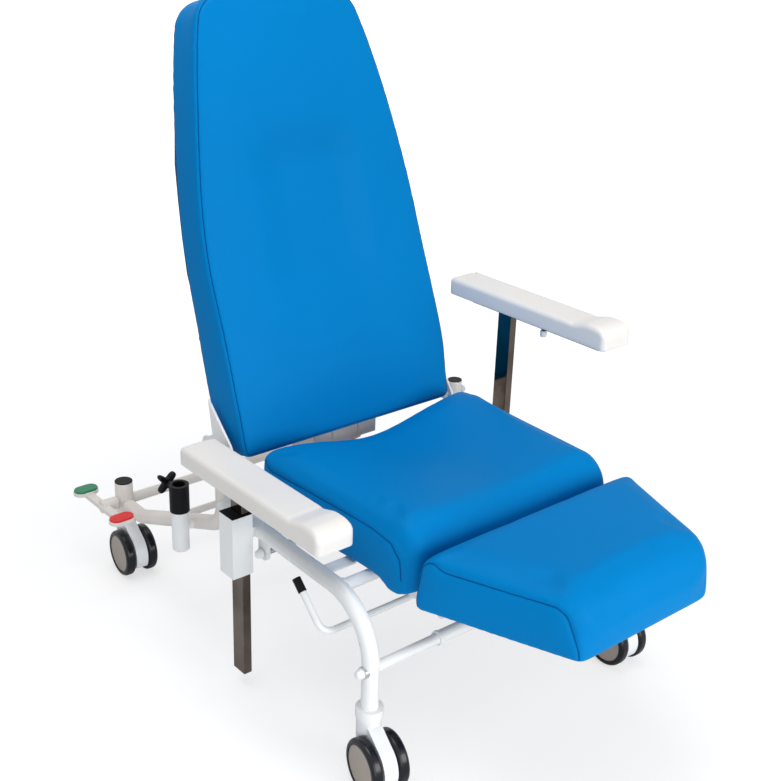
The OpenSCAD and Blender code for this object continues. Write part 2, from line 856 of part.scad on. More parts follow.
// Hinge bolts through the uprights, with a flanged head inside the plates
module pivot_bolts() {
    color("silver") on_both_sides() translate([0, hinge_back, hinge_h]) {
        rod_x(pivot_d / 2, plate_x - side_play - pivot_head_t, upright_x + tube_r + bolt_head_h);
        rod_x(pivot_head_d / 2, plate_x - side_play - pivot_head_t, plate_x - side_play);
        rod_x(pivot_head_d / 2 - over, plate_x + plate_t + side_play, upright_x - tube_r);
    }
}

// Pole socket on the left rear tube
module pole_socket() {
    inner_d = socket_d - 2 * socket_wall;
    color("white") translate([-pole_x, pole_back, 0]) difference() {
        union() {
            translate([0, 0, socket_low + socket_wall]) cylinder(d = socket_d, h = socket_l - socket_wall);
            translate([0, 0, socket_low]) cylinder(d1 = inner_d, d2 = socket_d, h = socket_wall);
            difference() {
                translate([0, 0, fall_z(pole_back)]) rod_x(stub_d / 2, 0, pole_x - rear_x(pole_back));
                translate([pole_x, -pole_back, 0]) mirror([1, 0, 0]) fall_core();
            }
        }
        translate([0, 0, socket_low + 2 * socket_wall]) cylinder(d = inner_d, h = socket_l);
    }
}

module pole_sleeve() {
    color("#202020") translate([-pole_x, pole_back, socket_top]) difference() {
        union() {
            cylinder(d = socket_sleeve_d, h = socket_sleeve_l);
            translate([0, 0, -spigot_l]) cylinder(r = socket_d / 2 - socket_wall - fit_gap, h = spigot_l);
        }
        translate([0, 0, -spigot_l - over]) cylinder(d = pole_d, h = socket_sleeve_l + spigot_l + 2 * over);
        translate([0, 0, socket_sleeve_l * stud_rise_share])
            rod_y(knob_stud_d / 2 + run_gap, 0, socket_sleeve_d);
    }
}

module pole_knob() {
    color("#202020") translate([-pole_x, pole_back, socket_top + socket_sleeve_l * stud_rise_share]) {
        rod_y(knob_stud_d / 2, pole_d / 2 + side_play, knob_y);
        translate([0, knob_y + knob_t, 0]) rotate([90, 0, 0]) linear_extrude(knob_t) {
            circle(r = knob_hub_r);
            for (a = [45:90:315]) rotate(a) translate([knob_r / 2, 0]) stadium(knob_r, knob_arm_w);
        }
    }
}

// Seat

module seat_board() {
    rear_half = seat_w / 2 - board_inset;
    front_half = seat_front_w / 2 - board_inset;
    front = -(seat_fwd - seat_lip - lip_setback);
    color("#303030") translate([0, 0, seat_board_z]) linear_extrude(board_t - soft_gap)
        polygon([[-rear_half, seat_rear - board_inset], [rear_half, seat_rear - board_inset],
            [front_half, front], [-front_half, front]]);
}

function seat_half(t) = (seat_w + (seat_front_w - seat_w) * t) / 2 - seat_bow * sin(180 * t);
function seat_high(y) = seat_low + seat_t - seat_fall * (seat_rear - y) / seat_l;

function seat_ring(t) =
    let (y = seat_rear - seat_l * t,
        nose = y + seat_fwd,
        lip = ease(seat_lip - nose, 0, lip_blend),
        half = seat_half(t) - round_in(nose, seat_lip_r) / 2,
        low = seat_low - seat_lip_drop * lip + round_in(nose, seat_lip_r),
        high = seat_high(y) - round_in(nose, seat_nose_r) * seat_nose_share
            - round_in(seat_rear - y, seat_rear_r) * seat_rear_share)
    [for (p = section(half, low, high, seat_edge_r, side_draw))
        [p[0], y - seat_hollow * arch(p[0], half) * (1 - ease(t, 0, seat_blend_share)),
            p[1] - seat_dish * arch(p[0], half) * top_share(p[1], low, high)
                * (1 - ease(t, seat_blend_share, 1) / 2)]];

module seat_cushion() {
    color("#0080cc") skin([for (i = [0:seat_rings - 1]) seat_ring(station(i, seat_rings))]);
}

// Back

module hinge_plate() {
    difference() {
        yz_plate(plate_x, plate_t) {
            translate([hinge_back, hinge_h]) {
                circle(r = plate_boss_r);
                polygon(concat([for (p = plate_shares) [p[0] * plate_reach, p[1] * plate_rise]],
                    [[tube_y - hinge_back + plate_heel_y, tube_z - hinge_h + plate_heel_z],
                        [tube_y - hinge_back, tube_z - hinge_h - plate_boss_r], [0, -plate_boss_r]]));
            }
            translate([tube_y, tube_z]) circle(r = plate_boss_r);
        }
        translate([0, hinge_back, hinge_h]) rod_x(pivot_d / 2 + run_gap, 0, upright_x);
    }
}

module hinge_plates() { color("white") on_both_sides() hinge_plate(); }

// Cross tube between the hinge plates, a spine with two straps, and the yoke of the gas spring
module back_frame() {
    spine_n = back_t + back_board_t;
    color("white") {
        translate([0, tube_y, tube_z]) rod_x(back_tube_d / 2, -plate_x, plate_x);
        back_place() difference() {
            translate([-spine_w / 2, spine_n + strap_t, back_tube_s])
                cube([spine_w, spine_t, back_l * spine_l_share]);
            translate([0, back_tube_n, back_tube_s]) rod_x(back_tube_d / 2, -spine_w, spine_w);
        }
        back_place() for (s = strap_shares)
            translate([-strap_l / 2, spine_n, back_l * s - strap_w / 2]) cube([strap_l, strap_t, strap_w]);
        spring_yoke();
    }
}

module spring_yoke() {
    difference() {
        union() {
            for (x = [-yoke_plate_x - plate_t, yoke_plate_x]) yz_plate(x, plate_t) {
                polygon([[web_y - web_step, web_z], [web_y - web_step, web_z + web_h],
                    [corner_y, corner_z - yoke_gap], [tube_y, tube_z], [tube_y + back_tube_d / 2, tube_z],
                    [yoke_y + yoke_lug_r, anchor_z], [yoke_y - yoke_lug_r, anchor_z - yoke_lug_r / 2]]);
                translate([yoke_y, anchor_z]) circle(r = yoke_lug_r);
            }
            translate([-yoke_half, web_y, web_z]) cube([2 * yoke_half, plate_t, web_h]);
            translate([0, yoke_y, anchor_z]) rod_x(yoke_pin_d / 2, -yoke_plate_x, yoke_plate_x);
        }
        translate([0, tube_y, tube_z]) rod_x(back_tube_d / 2, -yoke_half, yoke_half);
    }
}

function back_half_at(t) =
    back_half * (lookup(t - back_blend_share, back_width_shares) + 2 * lookup(t, back_width_shares)
        + lookup(t + back_blend_share, back_width_shares)) / 4;

// Sunk panel in the middle of the back: 1 inside it, fading to 0 around it
function panel_at(x, t) =
    (1 - past(abs(x), panel_half)) * past(t * back_l, panel_low_share * back_l)
        * (1 - past(t * back_l, panel_high_share * back_l));
function past(x, edge) = ease(x, edge - panel_fade, edge + panel_fade);

function back_ring(t) =
    let (s = back_l * t,
        half = back_half_at(t) - round_in(back_l - s, back_corner_r),
        high = back_t - back_crown - round_in(back_l - s, back_top_r) - round_in(s, back_foot_r))
    [for (p = section(half, 0, high, back_edge_r, side_draw))
        [p[0], back_t - p[1] - top_share(p[1], 0, high)
            * (back_crown * arch(p[0], half) - panel_depth * panel_at(p[0], t)), s]];

module back_cushion() {
    color("#0080cc") back_place() skin([for (i = [0:back_rings - 1]) back_ring(station(i, back_rings))]);
}

module back_board() {
    half = [for (i = [0:back_board_steps]) let (t = i / back_board_steps)
        [back_half_at(t) - back_board_edge - round_in(back_l * (1 - t), back_corner_r),
            back_board_edge + (back_l - 2 * back_board_edge) * t]];
    color("#2b2b2b") back_place() translate([0, back_t + back_board_t, 0]) rotate([90, 0, 0])
        linear_extrude(back_board_t - soft_gap)
            polygon(concat(half, [for (i = [back_board_steps:-1:0]) [-half[i][0], half[i][1]]]));
}

// Gas spring

module spring_cylinder() {
    color("#202020") translate([0, anchor_y, anchor_z]) difference() {
        union() {
            rod_x(eye_r, -eye_w / 2, eye_w / 2);
            rod_y(eye_w / 2, 0, cylinder_start);
            rod_y(cylinder_d / 2, cylinder_start, cylinder_end);
        }
        rod_x(anchor_d / 2 + run_gap, -eye_w, eye_w);
        rod_y(cylinder_bore / 2, cylinder_start + cylinder_cap, cylinder_end - cylinder_cap);
        rod_y(rod_d / 2 + run_gap, cylinder_start + cylinder_cap, cylinder_end + over);
    }
}

module spring_rod() {
    piston_end = cylinder_end - cylinder_cap - side_play;
    color("silver") translate([0, anchor_y, anchor_z]) difference() {
        union() {
            rod_y(rod_d / 2, piston_end - piston_t / 2, spring_l - eye_r + over);
            rod_y(cylinder_bore / 2 - run_gap, piston_end - piston_t, piston_end);
            translate([-eye_w / 2, spring_l, 0]) rotate([90, 0, 90]) linear_extrude(eye_w)
                stadium(2 * eye_r + 2 * eye_slot, 2 * eye_r);
        }
        translate([-eye_w, spring_l, 0]) rotate([90, 0, 90]) linear_extrude(2 * eye_w)
            stadium(yoke_pin_d + 2 * eye_slot + 2 * run_gap, yoke_pin_d + 2 * run_gap);
    }
}

// Legrest

// The legrest's local place: y' runs back along its underside
module legrest_place() {
    translate([0, legrest_rear, legrest_low]) rotate([legrest_pitch, 0, 0]) children();
}

// Height of the underside of the legrest's board
function legrest_under(y) =
    legrest_low - board_t / cos(legrest_pitch) + (y - legrest_rear) * tan(legrest_pitch) - fit_gap;

module legrest_bars() {
    front = legrest_rear - legrest_l * bar_l_share;
    rear = pivot_y + arm_strip_h / 2;
    heel = pivot_y - arm_strip_h;
    color("white") on_both_sides() {
        yz_plate(bar_x, bar_t) {
            translate([pivot_y, pivot_z]) circle(r = arm_strip_h / 2);
            polygon([[rear, pivot_z], [pivot_y - arm_strip_h / 2, pivot_z],
                [heel, legrest_under(heel) - bar_h], [front, legrest_under(front) - bar_h / 2],
                [front, legrest_under(front)], [rear, legrest_under(rear)]]);
        }
        translate([0, pivot_y, pivot_z]) rod_x(pin_d / 2, arm_strip_x - side_play, bar_x);
    }
}

module legrest_board() {
    front = legrest_board_inset - legrest_l;
    rear_half = legrest_rear_w / 2 - legrest_board_inset;
    front_half = legrest_front_w / 2 - legrest_board_inset / 2;
    color("#303030") legrest_place() translate([0, 0, -board_t]) linear_extrude(board_t - soft_gap)
        polygon([[-rear_half, 0], [rear_half, 0], [front_half, front], [-front_half, front]]);
}

function legrest_ring(t) =
    let (ahead = legrest_l * (1 - t),
        ends = round_in(legrest_l * t, legrest_edge_r / 2) + round_in(ahead, legrest_edge_r / 2),
        width = legrest_rear_w + (legrest_front_w - legrest_rear_w) * t,
        half = width / 2 - legrest_bow * sin(180 * t) - ends,
        low = ends / 2,
        high = legrest_rear_t + (legrest_front_t - legrest_rear_t) * t
            - round_in(legrest_l * t, legrest_rear_r) - round_in(ahead, legrest_front_r),
        lean = legrest_lean / legrest_rear_t * (1 - ease(t, 0, legrest_blend_share)))
    [for (p = section(half, low, high, legrest_top_r, side_draw))
        [p[0], -legrest_l * t - lean * (p[1] - low),
            p[1] + legrest_bow * arch(p[0], half) * top_share(p[1], low, high)]];

module legrest_cushion() {
    color("#0080cc") legrest_place()
        skin([for (i = [0:legrest_rings - 1]) legrest_ring(station(i, legrest_rings))]);
}

// Armrests: the left one is down, the right one is up

module at_height(side) {
    translate([0, 0, side > 0 ? arm_travel : 0]) on_side(side) children();
}

function pad_ring(t) =
    let (y = pad_rear - pad_l * t,
        nose = pad_l * (1 - t),
        half = pad_w / 2 - round_in(nose, pad_nose_r) / 2 - round_in(pad_l * t, pad_edge_r / 2),
        hump = pad_hump * ease(pad_hump_l - abs(nose - pad_hump_at), 0, pad_hump_l),
        high = pad_low + pad_t + hump - round_in(nose, pad_nose_r) * pad_nose_share
            - round_in(pad_l * t, pad_edge_r / 2))
    [for (p = section(half - pad_bulge, pad_low, high, pad_edge_r, -pad_bulge)) [p[0] + pad_x, y, p[1]]];

module arm_pad() {
    skin([for (i = [0:pad_rings - 1]) pad_ring(station(i, pad_rings))]);
}

module pad_pocket() {
    inner = pad_x - pad_w / 2 - over;
    half = tube_r + pocket_gap;
    translate([inner, hinge_back - half, pad_low - over])
        cube([upright_x + tube_r + cap_h + pocket_gap - inner, 2 * half,
            upright_top + plug_t + pocket_gap - pad_low + over]);
}

module arm_plate() {
    front = pad_rear - pad_l + arm_plate_inset;
    translate([pad_x - arm_plate_w / 2, front, pad_low - arm_plate_t - fit_gap])
        cube([arm_plate_w, arm_plate_back - front, arm_plate_t]);
    translate([pad_x - stud_in, stud_y, pad_low - arm_plate_t - fit_gap - stud_h])
        cylinder(d = stud_d, h = stud_h);
}

module arm_post() {
    translate([post_x - post_t / 2, post_y - post_w / 2, pad_low - arm_plate_t - 2 * fit_gap - post_l])
        difference() {
            cube([post_t, post_w, post_l]);
            translate([tube_wall, tube_wall, -over])
                cube([post_t - 2 * tube_wall, post_w - 2 * tube_wall, post_l - tube_wall]);
        }
}

module arm_pad_left() {
    color("#ece9e2") at_height(-1) difference() {
        arm_pad();
        pad_pocket();
    }
}

module arm_pad_right() { color("#ece9e2") at_height(1) arm_pad(); }
module arm_plate_left() { color("#303030") at_height(-1) arm_plate(); }
module arm_plate_right() { color("#303030") at_height(1) arm_plate(); }
module arm_post_left() { color("silver") at_height(-1) arm_post(); }
module arm_post_right() { color("silver") at_height(1) arm_post(); }

// Controls

module release_lever() {
    color("white") translate([0, lever_y, lever_z]) {
        rod_x(lever_d / 2, lever_bend_r - lever_x, -lever_inner);
        rotate([lever_slope, 0, 0]) {
            translate([lever_bend_r - lever_x, lever_bend_r, 0]) rotate([0, 0, 180])
                rotate_extrude(angle = 90) translate([lever_bend_r, 0]) circle(d = lever_d);
            translate([-lever_x, 0, 0]) rod_y(lever_d / 2, lever_bend_r, lever_handle);
        }
    }
}

module lever_grip() {
    color("#202020") translate([0, lever_y, lever_z]) rotate([lever_slope, 0, 0]) translate([-lever_x, 0, 0])
        difference() {
            rod_y(grip_d / 2, lever_handle - grip_l + grip_wall, lever_handle + grip_wall);
            rod_y(lever_d / 2 + fit_gap, lever_handle - grip_l, lever_handle);
        }
}

// Brake: a hexagonal shaft through both housings, turned by the rocker on the left
module brake_shaft() {
    color("silver") translate([0, housing_back, shaft_h]) rotate([0, 90, 0])
        translate([0, 0, -rocker_x]) cylinder(d = shaft_d, h = rocker_x + hub_end, $fn = 6);
}

module brake_rocker() {
    color("#e6ddce") translate([0, housing_back, shaft_h]) difference() {
        union() {
            rod_x(hub_d / 2, -hub_end - hub_l, -hub_end);
            translate([-rocker_x - rocker_w / 2, -pedal_reach, -rocker_t / 2])
                cube([rocker_w, 2 * pedal_reach, rocker_t]);
            for (s = [-1, 1]) translate([-rocker_x, s * pedal_reach, pedal_lift - rocker_t / 2])
                linear_extrude(pad_plate_t) stadium(pedal_l, pedal_w);
        }
        rotate([0, 90, 0]) translate([0, 0, -rocker_x])
            cylinder(d = shaft_d + 2 * run_gap, h = rocker_x, $fn = 6);
    }
}

module pedal_pad(s) {
    translate([-rocker_x, housing_back + s * pedal_reach, shaft_h + pedal_lift - rocker_t / 2 + pad_plate_t])
        linear_extrude(pad_cap_t) stadium(pedal_l - 2 * pad_cap_inset, pedal_w - 2 * pad_cap_inset);
}

module green_pad() { color("#14825a") pedal_pad(1); }
module red_pad() { color("#e61e28") pedal_pad(-1); }

// Casters

module caster_place(i) {
    translate([caster_x[i], caster_y[i], 0]) rotate([0, 0, caster_turn[i]]) children();
}

module caster_body(i) {
    neck_z = caster_h - ring_t - neck_h / 2;
    caster_place(i) color("white") difference() {
        union() {
            yz_plate(-body_w / 2, body_w) difference() {
                union() {
                    translate([-trail, wheel_r]) circle(r = hood_r);
                    polygon([[-trail, wheel_r], [-trail, wheel_r] + hood_r * hood_shoulder_shares,
                        [-head_d / 2, neck_z], [head_d / 2, neck_z],
                        [head_d / 2, wheel_d - neck_h], [hood_r - trail, wheel_r]]);
                }
                translate([-wheel_d, 0]) square([2 * wheel_d, lip_h]);
            }
            translate([0, 0, wheel_d - head_sink])
                cylinder(d = head_d, h = caster_h - ring_t - soft_gap - wheel_d + head_sink);
        }
        translate([0, 0, caster_h - neck_h - side_play])
            cylinder(r = stem_d / 2 + run_gap, h = neck_h + over);
        translate([0, -trail, wheel_r]) rod_x(axle_d / 2 + fit_gap, -wheel_d, wheel_d);
        for (s = [-1, 1]) translate([s * wheel_mid, -trail, wheel_r])
            rod_x(wheel_r + body_play, -wheel_w / 2 - body_play, wheel_w / 2 + body_play);
    }
}

module caster_axle(i) {
    caster_place(i) color("silver") translate([0, -trail, wheel_r])
        rod_x(axle_d / 2, -twin_w / 2 + disc_dip + ring_t, twin_w / 2 - disc_dip - ring_t);
}

module tyre() {
    rotate_extrude() difference() {
        translate([disc_d / 2, -wheel_w / 2]) square([wheel_r - disc_d / 2, wheel_w]);
        for (s = [-1, 1]) translate([wheel_r - tread_r, s * (wheel_w / 2 - tread_r)]) difference() {
            translate([0, s > 0 ? 0 : -tread_r - over]) square([tread_r + over, tread_r + over]);
            circle(r = tread_r);
        }
    }
}

module caster_tyres(i) {
    caster_place(i) color("#181818") for (s = [-1, 1])
        translate([s * wheel_mid, -trail, wheel_r]) rotate([0, 90, 0]) tyre();
}

// Disc with a hub, a web, a rim and a closed outer face
module wheel_disc() {
    disc_r = disc_d / 2 - fit_gap;
    face_z = wheel_w / 2 - disc_dip / 2 - disc_face_t;
    difference() {
        rotate_extrude() {
            translate([0, -wheel_w / 2 + disc_dip]) square([hub_r, wheel_w - 2 * disc_dip]);
            translate([0, -disc_web_t / 2]) square([disc_r, disc_web_t]);
            translate([disc_r - disc_rim_t, -wheel_w / 2 + disc_dip / 2])
                square([disc_rim_t, wheel_w - disc_dip]);
            translate([0, face_z]) square([disc_r, disc_face_t]);
        }
        translate([0, 0, -wheel_w]) cylinder(r = axle_d / 2 + run_gap, h = wheel_w + face_z);
    }
}

module caster_discs(i) {
    caster_place(i) color("#96908a") for (s = [-1, 1])
        translate([s * wheel_mid, -trail, wheel_r]) rotate([0, s * 90, 0]) wheel_disc();
}

side_rail_left();
side_rail_right();
rear_leg_left();
rear_leg_right();
front_cross_tube();
cross_tube_sleeve();
rear_cross_tube();
rear_brace();
seat_cross_tubes();
frame_brackets();
spring_anchor();
arm_sheaths();
post_guides();
tube_plugs();
caster_stems();
frame_bolts();
bolt_caps();
pivot_bolts();
pole_socket();
pole_sleeve();
seat_board();
seat_cushion();
hinge_plates();
back_frame();
back_board();
back_cushion();
spring_cylinder();
spring_rod();
legrest_bars();
legrest_board();
legrest_cushion();
arm_pad_left();
arm_plate_left();
arm_post_left();
arm_pad_right();
arm_plate_right();
arm_post_right();
release_lever();
lever_grip();
pole_knob();
brake_rocker();
brake_shaft();
green_pad();
red_pad();
for (i = [0:3]) {
    caster_body(i);
    caster_axle(i);
    caster_tyres(i);
    caster_discs(i);
}
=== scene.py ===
"""Looks of a wheeled rest armchair: upholstery, moulded pads, painted tubes, casters and studio."""

import json
import math

import bmesh
import bpy
import numpy as np
from mathutils import Matrix, Vector
from mathutils.bvhtree import BVHTree
from mathutils.kdtree import KDTree

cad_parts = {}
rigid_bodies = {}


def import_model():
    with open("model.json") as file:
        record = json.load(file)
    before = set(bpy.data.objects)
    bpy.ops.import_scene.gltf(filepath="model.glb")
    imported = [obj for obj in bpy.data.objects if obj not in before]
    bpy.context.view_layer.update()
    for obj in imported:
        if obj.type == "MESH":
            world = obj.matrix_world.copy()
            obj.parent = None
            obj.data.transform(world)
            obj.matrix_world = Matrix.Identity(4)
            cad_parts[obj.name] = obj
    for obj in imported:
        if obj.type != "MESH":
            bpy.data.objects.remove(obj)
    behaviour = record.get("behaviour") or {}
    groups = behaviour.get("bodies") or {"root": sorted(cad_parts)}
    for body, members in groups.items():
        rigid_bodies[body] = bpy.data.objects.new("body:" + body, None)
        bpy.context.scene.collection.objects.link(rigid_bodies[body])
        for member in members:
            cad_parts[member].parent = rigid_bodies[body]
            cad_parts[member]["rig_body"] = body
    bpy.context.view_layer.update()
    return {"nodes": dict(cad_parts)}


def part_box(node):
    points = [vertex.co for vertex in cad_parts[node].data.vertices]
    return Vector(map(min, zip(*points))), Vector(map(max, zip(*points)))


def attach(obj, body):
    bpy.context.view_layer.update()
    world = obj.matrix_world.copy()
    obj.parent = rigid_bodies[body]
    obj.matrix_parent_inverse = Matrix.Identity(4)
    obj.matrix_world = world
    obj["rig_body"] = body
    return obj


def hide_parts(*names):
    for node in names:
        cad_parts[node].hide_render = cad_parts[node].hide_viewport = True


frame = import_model()
nodes = frame["nodes"]

# Camera: its place in metres and its angles in degrees, the picture in pixels, the sensor's width in mm
EYE = (-1.38985, -1.61048, 1.43093)
HEADING, PITCH, ROLL = -40.5, 22.8, 1.857
IMAGE_W, IMAGE_H = 780, 781
FOCAL_PX, CENTRE_X, CENTRE_Y = 1235.2, 386.0, 385.2
SENSOR, VIEW_DEPTH = 36, 50

# Light: each lamp's name, place, target, size, power and colour, and the world's colour and strength
LAMPS = [
    ("key", (0.4, -2.9, 1.15), (0, 0, 0.45), 1.4, 38, (1, 0.98, 0.96)),
    ("side", (-1.5, -2.5, 0.8), (0, 0, 0.4), 1.6, 21, (0.93, 0.98, 1)),
    ("top", (-0.4, 0.2, 3.0), (0, 0, 0.3), 2.0, 36, (1, 1, 1)),
]
WORLD_COLOUR, WORLD_STRENGTH = (0.92, 0.94, 1.0, 1), 0.44

# Floor: half its size, its grey, what rays other than the camera's see, and how its white rises
# with the distance from the object
FLOOR_REACH = 30
FLOOR_COLOUR, FLOOR_ROUGH, FLOOR_GLOSS = (0.50, 0.50, 0.50, 1), 0.9, 0.1
FLOOR_BOUNCE = (0.85, 0.86, 0.87, 1)
FLOOR_RISE = {"From Min": 0.8, "From Max": 3.0, "To Min": 0.6, "To Max": 1.0}

# Materials: where the colour's slow change starts and ends, the change of roughness, and the relief
MOTTLE_RANGE, ROUGH_CHANGE, RELIEF = (0.3, 0.7), (0.85, 1.15), 0.6

# Meshes: points this near are one, faces this flat are one, edges this sharp stay sharp (in degrees)
MERGE, CAD_MERGE = 1e-7, 2e-6
FLAT, CAD_SHARP, FINISH_SHARP, POCKET_SHARP = 0.5, 40, 60, 50
EDGE_BREAK, BOLD_EDGE = 0.0008, 0.002
ARC_STEP, MOST_CUT = 0.15, 0.49
EDGE_STEPS = 5

SIDES = ((-1, "left"), (1, "right"))

# Frame tubes; the rails splay from the uprights to the front legs, and the rear legs close in on the housings
TUBE_R = 0.015
UPRIGHT_X, HOUSING_X, LEG_X = 0.290, 0.285, 0.301
HINGE_Y, HOUSING_Y, LEG_Y = 0.133, 0.536, -0.320
UPRIGHT_TOP, UPRIGHT_FOOT, LOW_RUN, FALL_END = 0.432, 0.281, 0.150, 0.460
REAR_BEND, REAR_SPLAY = 0.060, 0.005
HOUSING_R, HOUSING_LOW, HOUSING_TOP = 0.019, 0.125, 0.201
HOUSING_LIP, HOUSING_OVERLAP = 0.0012, 0.003
RAIL_Z, RAIL_SPLAY, RAIL_SLOPE = 0.326, 0.011, 0.0243

# Welds: the bead, and the radii and places of the tubes that meet the sides
BEAD, BEAD_LIFT, BEAD_RIPPLE, BEAD_WAVES, BEAD_POINTS = 0.0022, 0.2, 0.10, 9, 48
CROSS_TUBE_R, BRACE_R, SOCKET_ARM_R, RAIL_END_R = 0.011, 0.0075, 0.008, TUBE_R - 0.0002
REAR_TUBE_Z, BRACE_Y = 0.156, 0.334
SEAT_TUBES = ((-0.230, "front"), (0.020, "rear"))
SOCKET_WELD, FALL_DIRECTION = (-0.2888, 0.225, 0.2441), (0, 0.93, -0.37)

# Caps as (distance along, radius); the bolts' ends as (y, z), and how far out two of them stand
BOLT_CAP = [(0, 0.0083), (0.0006, 0.0088), (0.0055, 0.0088), (0.0062, 0.0080), (0.0088, 0.0076),
            (0.0112, 0.0066), (0.0128, 0.0050), (0.0137, 0.0028), (0.0139, 0.0008)]
STUD_CAP = [(0, 0.0052), (0.0008, 0.0062), (0.0020, 0.0066), (0.0120, 0.0066), (0.0130, 0.0060),
            (0.0133, 0.0045)]
LEG_BOLT, ANCHOR_BOLT, HINGE_BOLT = (LEG_Y, 0.215), (-0.005, 0.285), (HINGE_Y, 0.407)
LEG_BOLT_OUT, ANCHOR_BOLT_OUT = 0.0175, 0.0055

# Cushions: how far a panel may swell, the voxels it is made of, the stuffing's pressure, and the seams
SWELL, WIDE_BULGE, VOXEL = 0.004, 0.003, 0.006
PRESSURE, CLOTH_FRAMES, CLOTH_QUALITY = 4.0, 20, 4
WIDE_SPAN, WIDE_LEVELS, WIDE_RINGS, WIDE_SOFTENED = 0.96, 45, 8, 5
HELD_ABOVE = 0.003
SEAM_DEPTH, SEAM_REACH, THREAD_R, THREAD_SIDES = 0.0018, 0.006, 0.0009, 8

# Seat: its ends, its underside and front lip, its crown line, and how far the middle is hollowed
SEAT_REAR, SEAT_FRONT = 0.069, -0.350
SEAT_REAR_HALF, SEAT_FRONT_HALF = 0.261, 0.241
SEAT_LOW, SEAT_LIP_LOW, SEAT_LIP_END = 0.345, 0.334, SEAT_FRONT + 0.063
SEAT_REAR_TOP, SEAT_TOP = 0.451, 0.458
SEAT_SLOPE, SEAT_HOLLOW, SEAT_HOLLOW_END, SEAT_BOW = 0.018, 0.006, 0.35, 0.003
SEAT_EDGE_R, SEAT_CORNER, SEAT_CORNER_R = 0.030, 0.026, 0.050
# Corners of its sides: (y, z, radius)
SEAT_OUTLINE = [
    (SEAT_REAR, SEAT_LOW, 0.010), (SEAT_REAR, SEAT_REAR_TOP, 0.020), (0.012, SEAT_TOP, 0.070),
    (SEAT_FRONT, SEAT_TOP, 0.080), (SEAT_FRONT, SEAT_LIP_LOW, 0.030), (SEAT_LIP_END, SEAT_LIP_LOW, 0.008),
    (SEAT_LIP_END + SEAT_SLOPE, SEAT_LOW, 0.003),
]
SEAT_SPINE_REAR, SEAT_SPINE_FRONT = 0.05, 0.06
# Share of the edge's rounding that its outline takes: low down and what the top adds, rear loss, bend gain
SEAT_TUCK, SEAT_TUCK_REAR, SEAT_TUCK_BEND = (0.15, 0.85), 0.6, 0.4
SEAT_BEND_IN, SEAT_BEND_REACH = 0.023, 0.055
# Dish in its middle: depth, half width, and how much shallower it gets from and to which share of the length
SEAT_DISH, SEAT_DISH_W, SEAT_DISH_LOSS, SEAT_DISH_FADE = 0.036, 0.14, 0.65, (0.15, 0.95)
# How far the seat's sides hang below its underside, at places along Y, and from where that shows
SEAT_SKIRT = [(-0.330, 0.0), (-0.302, 0.012), (-0.268, 0.012), (-0.245, 0.007)]
SEAT_SKIRT_EDGE = (-0.018, -0.006)

# Legrest
REST_REAR, REST_FRONT = -0.358, -0.634
REST_REAR_HALF, REST_FRONT_HALF = 0.253, 0.154
REST_REAR_LOW, REST_FRONT_LOW = 0.3431, 0.3352
REST_TOP = 0.443
REST_LEAN, REST_CROWN, REST_EDGE_R = 0.010, 0.006, 0.021
REST_SKIRT, REST_SKIRT_EDGE = 0.012, (-0.022, -0.008)
REST_OUTLINE = [
    (REST_REAR, REST_REAR_LOW, 0.014), (REST_REAR - REST_LEAN, REST_TOP - 0.003, 0.036),
    (REST_FRONT, REST_TOP, 0.082), (REST_FRONT, REST_FRONT_LOW, 0.005),
]
REST_SPINE = [(REST_REAR - 0.055, 0.388), (REST_FRONT + 0.055, 0.380)]
REST_TUCK, REST_TUCK_TOP, REST_TUCK_REAR = (0.18, 0.82), 0.405, 0.75
REST_TUCK_EDGE = (REST_REAR - 0.060, REST_REAR - 0.012)

# Back: length along its face, where its front and rear faces lie behind its datum, and its half widths
BACK_ORIGIN = Vector((0, 0.114, 0.422))
BACK_TILT = math.radians(18)
BACK_LOW, BACK_L, BACK_REAR = -0.010, 0.832, 0.085
BACK_FACE = [(0.0, -0.004), (0.10, -0.014), (0.22, -0.010), (0.34, 0.000), (0.47, -0.002), (0.63, -0.007),
             (0.83, -0.005)]
BACK_FRONT_R, BACK_REAR_R, BACK_TOP_R, BACK_LOW_R, BACK_SIDE_R = 0.010, 0.005, 0.075, 0.014, 0.2
BACK_HALVES = [(0.0, 0.254), (0.10, 0.260), (0.22, 0.258), (0.33, 0.257), (0.41, 0.253), (0.475, 0.246),
               (0.55, 0.235), (0.645, 0.218), (0.73, 0.200), (0.80, 0.182), (0.90, 0.150)]
BACK_STATIONS, BACK_SPINE, BACK_RINGS = 26, [(0, 0.18), (0, 0.66)], 26
BACK_WALL, BACK_WALL_TUCK, BACK_SEAM_STEP = (-0.9, -0.6, -0.3, 0.0, 0.3, 0.6, 0.9), 0.002, 3
FACE_EASE, HALF_EASE, EASE_SAMPLES = 0.05, 0.025, 11
# Crown and sunk panel: their size, where they fade, and how deep into the cushion they reach
BACK_CROWN, CROWN_LOW, CROWN_FADE, FACE_DEPTH = 0.006, 0.12, 0.15, (0.005, 0.03)
PANEL_HALF, PANEL_LOW, PANEL_HIGH, PANEL_DEPTH, PANEL_FADE = 0.100, 0.235, 0.550, 0.013, 0.045

